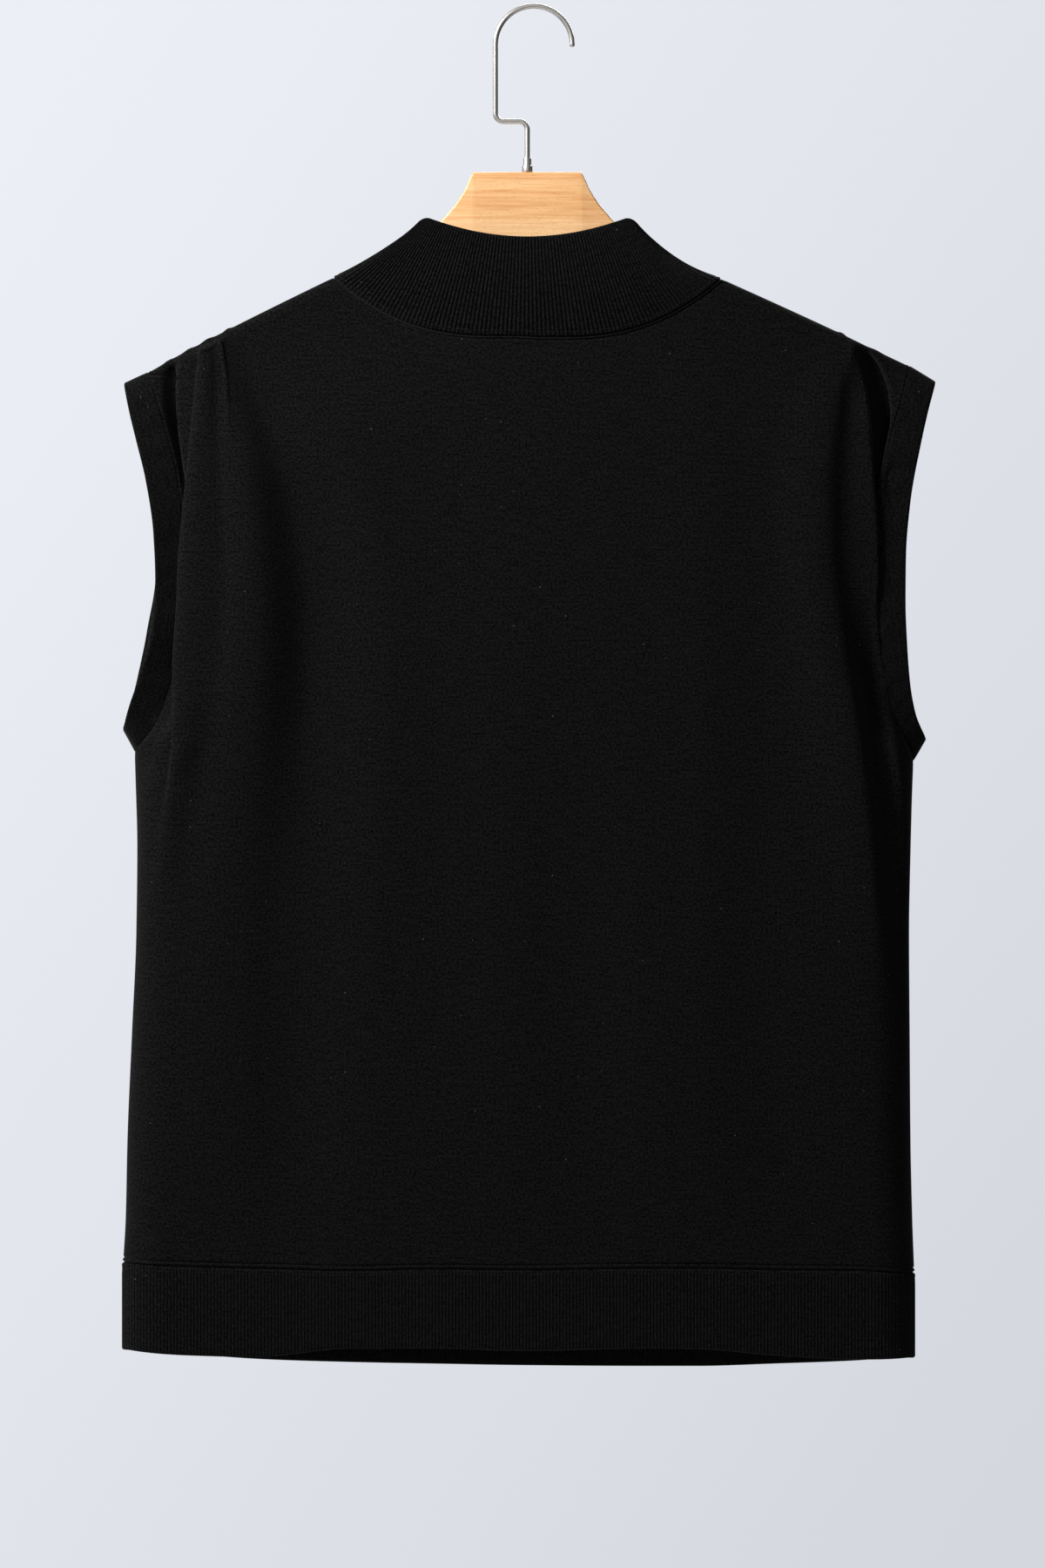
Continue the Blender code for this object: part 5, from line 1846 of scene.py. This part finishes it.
@dataclass
class Hanger:
    """The flat beech hanger: a head with a bore for the wire and two arms with round tips."""

    centre_x: float = -4.0
    thickness: float = 12.0
    edge_radius: float = 2.0
    edge_segments: int = 5
    bore: float = 3.8
    bore_depth: float = 18.0
    bore_sides: int = 32
    head_top: float = -102.0
    head_bottom: float = -158.0

    def build(self) -> Object:
        """Models the right half section by section, mirrors it, rounds its edges and bores it."""
        start_fresh()
        first = WOOD_SECTIONS[0]
        height = self.head_top - self.head_bottom
        bpy.ops.mesh.primitive_cube_add(
            size=1.0,
            location=(0.5 * first.reach * MM, 0.0, (self.head_top - 0.5 * height) * MM),
            scale=(first.reach * MM, self.thickness * MM, height * MM),
        )
        wood = named("hanger_beech")
        edit_faces()
        pick_faces(wood, lambda face: face.normal.x > FACING)
        self.shape_section(self.head_top, self.head_bottom, first)
        for before, section in zip(WOOD_SECTIONS[:-1], WOOD_SECTIONS[1:]):
            extrude(((section.reach - before.reach) * MM, 0.0, 0.0))
            self.shape_section(before.top, before.bottom, section)
        pick_faces(
            wood, lambda face: face.normal.x < -FACING and face.calc_center_median().x < TINY
        )
        bpy.ops.mesh.delete(type="FACE")
        start_fresh()
        apply_modifier(wood, "MIRROR", use_clip=True, merge_threshold=0.00005)
        round_edges(wood, self.edge_radius, self.edge_segments, degrees=60.0)
        middle = self.head_top - 0.5 * self.bore_depth + 0.5
        size = (0.5 * self.bore, self.bore_depth + 1.0)
        cut_out(wood, cylinder("bore_cutter", self.bore_sides, size, (0.0, middle)))
        wood.data.transform(Matrix.Translation((self.centre_x * MM, 0.0, 0.0)))
        smooth(wood, degrees=35.0)
        dress(wood, BEECH, "hanger_wood")
        return wood

    def shape_section(self, top: float, bottom: float, section: WoodSection) -> None:
        """Moves and scales the selected end face to a section.

        Args:
            top: The face's upper edge.
            bottom: The face's lower edge.
            section: The section.
        """
        middle, old_middle = 0.5 * (section.top + section.bottom), 0.5 * (top + bottom)
        bpy.ops.transform.translate(value=(0.0, 0.0, (middle - old_middle) * MM))
        factor = (section.top - section.bottom) / (top - bottom)
        centre = (section.reach * MM, 0.0, middle * MM)
        bpy.ops.transform.resize(value=(1.0, 1.0, factor), center_override=centre)


@dataclass
class Hook:
    """The wire hook, bent from one nickelled wire, and the nut at its foot."""

    centre_x: float = -4.0
    wire: float = 3.2
    radius: float = 23.8
    tip_angle: float = -4.0
    tip_round: float = 0.45
    tip_segments: int = 4
    leg_height: float = -70.0
    bend: float = 5.0
    stem_end: float = -118.0
    sides: int = 20
    crown_steps: int = 44
    bend_steps: int = 9
    nut_diameter: float = 6.4
    nut_height: float = 9.0
    nut_collar: float = 4.2
    nut_neck: float = 5.0
    nut_bore: float = 3.8
    nut_edge: float = 0.35
    nut_sides: int = 36
    nut_base: float = -101.66

    def build_wire(self) -> Object:
        """Sweeps the wire's round section over the crown and down through its bends."""
        start_fresh()
        crown = 0.5 * self.wire - self.radius
        tip = math.radians(self.tip_angle)
        x, z = self.radius * math.cos(tip), crown + self.radius * math.sin(tip)
        bpy.ops.mesh.primitive_circle_add(
            vertices=self.sides,
            radius=0.5 * self.wire * MM,
            fill_type="NGON",
            location=(x * MM, 0.0, z * MM),
            rotation=(0.0, -tip, 0.0),
        )
        wire = named("hook_wire_nickel")
        edit_faces()
        bpy.ops.mesh.select_all(action="SELECT")
        self.turn(180.0 - self.tip_angle, (0.0, crown), self.crown_steps)
        leg_end = self.leg_height + self.bend
        extrude((0.0, 0.0, (leg_end - crown) * MM))
        self.turn(90.0, (-self.radius + self.bend, leg_end), self.bend_steps)
        extrude(((self.centre_x + self.radius - 2 * self.bend) * MM, 0.0, 0.0))
        self.turn(-90.0, (self.centre_x - self.bend, self.leg_height - self.bend), self.bend_steps)
        extrude((0.0, 0.0, (self.stem_end - self.leg_height + self.bend) * MM))
        bpy.ops.mesh.select_all(action="SELECT")
        bpy.ops.mesh.remove_doubles(threshold=0.00001)
        bpy.ops.mesh.normals_make_consistent(inside=False)
        self.round_tip(wire)
        smooth(wire, degrees=50.0)
        dress(wire, NICKEL, "hook_wire")
        return wire

    def turn(self, degrees: float, centre: tuple[float, float], steps: int) -> None:
        """Spins the selected section round an axis along Y.

        Args:
            degrees: The angle, positive from +X over the top.
            centre: X and Z of the axis.
            steps: How many sections it makes.
        """
        bpy.ops.mesh.spin(
            steps=steps,
            angle=math.radians(degrees),
            center=(centre[0] * MM, 0.0, centre[1] * MM),
            axis=(0.0, 1.0, 0.0),
        )

    def round_tip(self, wire: Object) -> None:
        """Rounds the wire's free end with a bevel."""
        pick_faces(wire, lambda face: len(face.verts) == self.sides and face.verts[0].co.x > 0)
        width = self.tip_round * self.wire * MM
        bpy.ops.mesh.bevel(offset=width, segments=self.tip_segments, affect="EDGES")
        start_fresh()

    def build_nut(self) -> Object:
        """Turns the nut: a collar, a narrower neck and the bore for the wire."""
        x, base, sides = self.centre_x, self.nut_base, self.nut_sides
        middle = base + 0.5 * self.nut_collar
        size = (0.5 * self.nut_diameter, self.nut_collar)
        nut = cylinder("hook_nut_nickel", sides, size, (x, middle))
        edit_faces()
        top = (base + self.nut_collar) * MM - TINY
        pick_faces(nut, lambda face: face.normal.z > FACING and face.calc_center_median().z > top)
        bpy.ops.mesh.inset(thickness=0.5 * (self.nut_diameter - self.nut_neck) * MM)
        extrude((0.0, 0.0, (self.nut_height - self.nut_collar) * MM))
        start_fresh()
        round_edges(nut, self.nut_edge, segments=3, degrees=50.0)
        size = (0.5 * self.nut_bore, 3.0 * self.nut_height)
        cut_out(nut, cylinder("nut_cutter", sides, size, (x, base)))
        smooth(nut, degrees=35.0)
        dress(nut, NICKEL, "hook_nut")
        return nut


@dataclass
class Coverstitch:
    """A row of needle thread beside a seam: one stitch modelled, then copied all along."""

    thread: float = 0.42
    pitch: float = 2.3
    stitch: float = 1.7
    sides: int = 6
    sunk: float = 0.05
    # How far each bend goes out, by the stitch, and down, by the thread, and how thin it gets.
    bends: tuple[Triple, ...] = ((0.16, 0.25, 0.9), (0.09, 0.9, 0.6))

    def one_stitch(self) -> tuple[Array, Array]:
        """Models one stitch along X: a short thread with both ends bent into the cloth.

        Returns:
            Its points in millimetres and its faces.
        """
        size = (0.5 * self.thread, 0.5 * self.stitch)
        made = cylinder("one_stitch", self.sides, size, (0.0, 0.0), 0.5 * math.pi)
        edit_faces()
        for sign in (1.0, -1.0):
            pick_faces(made, lambda face: sign * face.normal.x > FACING)
            for out, down, thin in self.bends:
                extrude((sign * out * self.stitch * MM, 0.0, -down * self.thread * MM))
                bpy.ops.transform.resize(value=(1.0, thin, thin))
        start_fresh()
        points = np.array([vertex.co for vertex in made.data.vertices]) / MM
        made.data.calc_loop_triangles()
        faces = np.array([triangle.vertices for triangle in made.data.loop_triangles])
        bpy.data.objects.remove(made)
        return points, faces

    def row(self, name: str, lines: Sequence[tuple[Array, Array]]) -> Object:
        """Copies the stitch along closed lines on the cloth.

        Args:
            name: The object's name.
            lines: For each row of stitches, its points and the cloth's normals there.

        Returns:
            All the stitches as one mesh.
        """
        points, faces = self.one_stitch()
        all_points, all_faces, first = [], [], 0
        for line, normals in lines:
            run = run_along(line, closed=True)
            count = int(run[-1] / self.pitch)
            places = (np.arange(count) + 0.5) * run[-1] / count
            spots, out = read_along(run, line, places), unit(read_along(run, normals, places))
            along = unit(np.roll(spots, -1, axis=0) - np.roll(spots, 1, axis=0))
            out = unit(out - along * np.sum(out * along, axis=1, keepdims=True))
            side = np.cross(out, along)
            frames = np.stack([along, side, out], axis=1)
            placed = np.einsum("pj,sjk->spk", points, frames) + spots[:, None]
            all_points.append(placed.reshape(-1, 3))
            offsets = first + np.arange(count)[:, None, None] * len(points)
            all_faces.append((faces[None] + offsets).reshape(-1, 3))
            first += count * len(points)
        mesh = bpy.data.meshes.new(name)
        corners = (np.concatenate(all_points) * MM).tolist()
        mesh.from_pydata(corners, [], np.concatenate(all_faces).tolist())
        mesh.validate()
        mesh.shade_smooth()
        made = link_object(name, mesh)
        dress(made, THREAD)
        return made


# ---- the whole


@dataclass
class Garment:
    """The top: panels, collar, bands and hem, sewn along the seams that they share."""

    pattern: Pattern = field(default_factory=Pattern)
    rib_stitch: float = 3.2
    rib_sink: float = 0.15
    panels: dict[Face, BodyPanel] = field(init=False)
    grids: dict[Face, Grid] = field(init=False)

    def __post_init__(self) -> None:
        """Lays out the panels' middle surfaces."""
        self.panels = {face: BodyPanel(self.pattern, face) for face in Face}
        self.grids = {face: panel.grid() for face, panel in self.panels.items()}

    def seam(self, opening: Opening) -> Seam:
        """The closed seam of an opening, from the edges of both panels.

        Args:
            opening: The opening.

        Returns:
            The seam, not yet framed.
        """
        places = self.panels[Face.BACK].places(opening, self.grids[Face.BACK])
        back, front = (np.array([self.grids[f].points[place] for place in places]) for f in Face)
        points = np.concatenate([back, front[-2:0:-1]])
        faces = np.concatenate([np.full(len(back), Face.BACK), np.full(len(front) - 2, Face.FRONT)])
        parts = np.zeros(len(points))
        if opening.side:
            down = self.pattern.armhole_part(opening.side, back[:, 2])
            down[0], down[-1] = 0.0, 1.0
            parts = np.concatenate([down, down[-2:0:-1]])
        return Seam(points, faces, parts)

    def build(self) -> None:
        """Builds every piece of cloth and its stitching."""
        kinds = (Collar, HemBand, SleeveBand, SleeveBand)
        rings = {opening: kind(self.pattern, opening) for opening, kind in zip(Opening, kinds)}
        seams = {opening: self.seam(opening) for opening in Opening}
        for opening, ring in rings.items():
            ring.frame_seam(seams[opening])
        made = [self.panels[face].build(self.grids[face], seams, JERSEY) for face in Face]
        for opening, ring in rings.items():
            made.append(ring.build(seams[opening], JERSEY if opening.side else RIB))
        for opening in STITCH_AT:
            made.append(self.stitching(seams[opening], rings[opening]))

    def stitching(self, seam: Seam, ring: Ring) -> Object:
        """The coverstitch of a rib seam: one row on the body and one on the rib.

        Args:
            seam: The seam.
            ring: The rib piece.

        Returns:
            The stitches.
        """
        stitches, panel = Coverstitch(), self.panels[Face.BACK]
        even = seam.resampled(int(seam.length()))
        part = self.rib_stitch / ring.height
        on_rib = ring.rows(even, np.array([0.0, part, 2 * part]))[1]
        on_rib = on_rib + (0.5 * ring.wall - self.rib_sink) * even.out
        sunk = 0.5 * panel.wall - panel.stitch_groove + stitches.sunk
        on_body = self.body_line(ring.opening) + sunk * seam.out
        name = f"{ring.opening.value}_coverstitch"
        return stitches.row(name, [(on_body, seam.out), (on_rib, even.out)])

    def body_line(self, opening: Opening) -> Array:
        """The line on the panels' middle surface that runs at the body's stitch distance.

        Args:
            opening: The opening.

        Returns:
            The line's points, round the opening.
        """
        lines = {}
        for face, grid in self.grids.items():
            found = []
            for row, k in self.panels[face].places(opening, grid):
                step = 1 if row == 0 else -1
                run, at = 0.0, grid.points[row, k]
                while run < STITCH_AT[opening]:
                    after = grid.points[row + step, k]
                    gap = float(np.linalg.norm(after - at))
                    if run + gap >= STITCH_AT[opening]:
                        at = at + (after - at) * (STITCH_AT[opening] - run) / gap
                        break
                    run, at, row = run + gap, after, row + step
                found.append(at)
            lines[face] = np.array(found)
        return np.concatenate([lines[Face.BACK], lines[Face.FRONT][-2:0:-1]])


class Softbox(NamedTuple):
    """A square soft light: its place and size in metres, and its power in watts."""

    name: str
    place: Triple
    size: float
    power: float


@dataclass
class Studio:
    """A pale floor, a pale surround, soft light from the upper left and the camera."""

    camera_distance: float = 3.0
    cloth_plane: float = -0.003
    frame_height: float = 0.972
    centre: tuple[float, float] = (-0.0070, -0.4811)
    sensor: float = 36.0
    floor_height: float = -1.6
    floor_radius: float = 2.2
    floor_thickness: float = 0.02
    floor_sides: int = 96
    floor_rim: float = 0.008
    # Painted light and shade on the surround the camera sees: lighter towards the upper left,
    # darker towards the lower right.
    backdrop_lit_tone: str = "ECEFF5"
    backdrop_shaded_tone: str = "D4D7DE"
    backdrop_light_direction: Triple = (-0.83, 0.0, 0.56)
    wall_blend: float = 0.16
    ambient_high: float = 0.26
    ambient_low: float = 0.0
    ambient_tilt: Triple = (-0.80, -0.10, 0.59)
    mirrored: float = 2.2
    lights: tuple[Softbox, ...] = (
        Softbox("key_softbox", (-1.36, -0.82, 0.72), 0.62, 80.0),
        Softbox("fill_softbox", (-0.6, -2.8, 0.4), 1.6, 5.0),
        Softbox("back_softbox", (0.4, 2.3, 1.1), 1.4, 60.0),
    )

    def build(self) -> None:
        """Sets up the floor, the surround, the lights and the camera."""
        self.make_floor()
        self.make_surround()
        for softbox in self.lights:
            self.light(softbox)
        self.make_camera()

    def make_floor(self) -> None:
        """A round matt floor well below the hanging garment, softly rounded at its rim."""
        start_fresh()
        place = (0.0, 0.0, self.floor_height - 0.5 * self.floor_thickness)
        size = {"radius": self.floor_radius, "depth": self.floor_thickness}
        bpy.ops.mesh.primitive_cylinder_add(vertices=self.floor_sides, location=place, **size)
        floor = named("studio_floor")
        start_fresh()
        apply_modifier(floor, "BEVEL", width=self.floor_rim, segments=3, limit_method="ANGLE")
        floor.data.materials.append(FLOOR.material())

    def make_surround(self) -> None:
        """A pale surround for the camera with painted light, lighter towards the upper left, and a
        dimmer grey one for the light, both graded.
        """
        world = bpy.data.worlds.new("studio_surround")
        bpy.context.scene.world = world
        world.use_nodes = True
        tree = world.node_tree
        node = partial(add, tree)
        place = node("TexCoord").outputs["Generated"]
        # Painted light: the camera's surround goes from the shaded tone to the lit tone along this
        # direction.
        wall = node("VectorMath", {0: place, 1: self.backdrop_light_direction}, operation="DOT_PRODUCT")
        ends = {"From Min": -self.wall_blend, "From Max": self.wall_blend}
        part = node("MapRange", {"Value": wall.outputs["Value"], **ends})
        tones = {"Factor": part, 6: linear(self.backdrop_shaded_tone), 7: linear(self.backdrop_lit_tone)}
        seen = node("Mix", tones, data_type="RGBA")
        sky = node("VectorMath", {0: place, 1: self.ambient_tilt}, operation="DOT_PRODUCT")
        ends = {"From Min": -1.0, "To Min": self.ambient_low, "To Max": self.ambient_high}
        grey = node("MapRange", {"Value": sky.outputs["Value"], **ends})
        path = node("LightPath").outputs
        ends = {"To Min": 1.0, "To Max": self.mirrored}
        mirror = node("MapRange", {"Value": path["Is Glossy Ray"], **ends})
        grey = node("Math", {0: grey, 1: mirror}, operation="MULTIPLY")
        both = node("Mix", {"Factor": path["Is Camera Ray"], 6: grey, 7: seen}, data_type="RGBA")
        join(tree, tree.nodes["Background"], {"Color": both})

    def light(self, softbox: Softbox) -> None:
        """Adds a soft light that faces the middle of the garment."""
        lamp = bpy.data.lights.new(softbox.name, "AREA")
        lamp.size, lamp.energy = softbox.size, softbox.power
        made = link_object(softbox.name, lamp)
        made.location = softbox.place
        towards = Vector((self.centre[0], 0.0, self.centre[1])) - Vector(softbox.place)
        made.rotation_euler = towards.to_track_quat("-Z", "Y").to_euler()

    def make_camera(self) -> None:
        """The camera looks straight at the garment's back, framed as in the photograph."""
        lens = bpy.data.cameras.new("photo_camera")
        lens.sensor_width = self.sensor
        lens.lens = self.sensor * self.camera_distance / self.frame_height
        lens.clip_end = 100.0
        camera = link_object("photo_camera", lens)
        camera.location = (self.centre[0], self.cloth_plane - self.camera_distance, self.centre[1])
        camera.rotation_euler = (0.5 * math.pi, 0.0, 0.0)
        bpy.context.scene.camera = camera
        bpy.context.scene.view_settings.view_transform = "Standard"


def main() -> None:
    """Builds the pieces in order."""
    logging.basicConfig(level=logging.INFO, format="%(message)s")
    Hanger().build()
    hook = Hook()
    hook.build_wire()
    hook.build_nut()
    Garment().build()
    Studio().build()


def corners(box: Sequence[Sequence[float]]) -> list[list[float]]:
    """A box's two corners as plain lists."""
    return [[float(value) for value in corner] for corner in box]


if __name__ == "__main__":
    main()
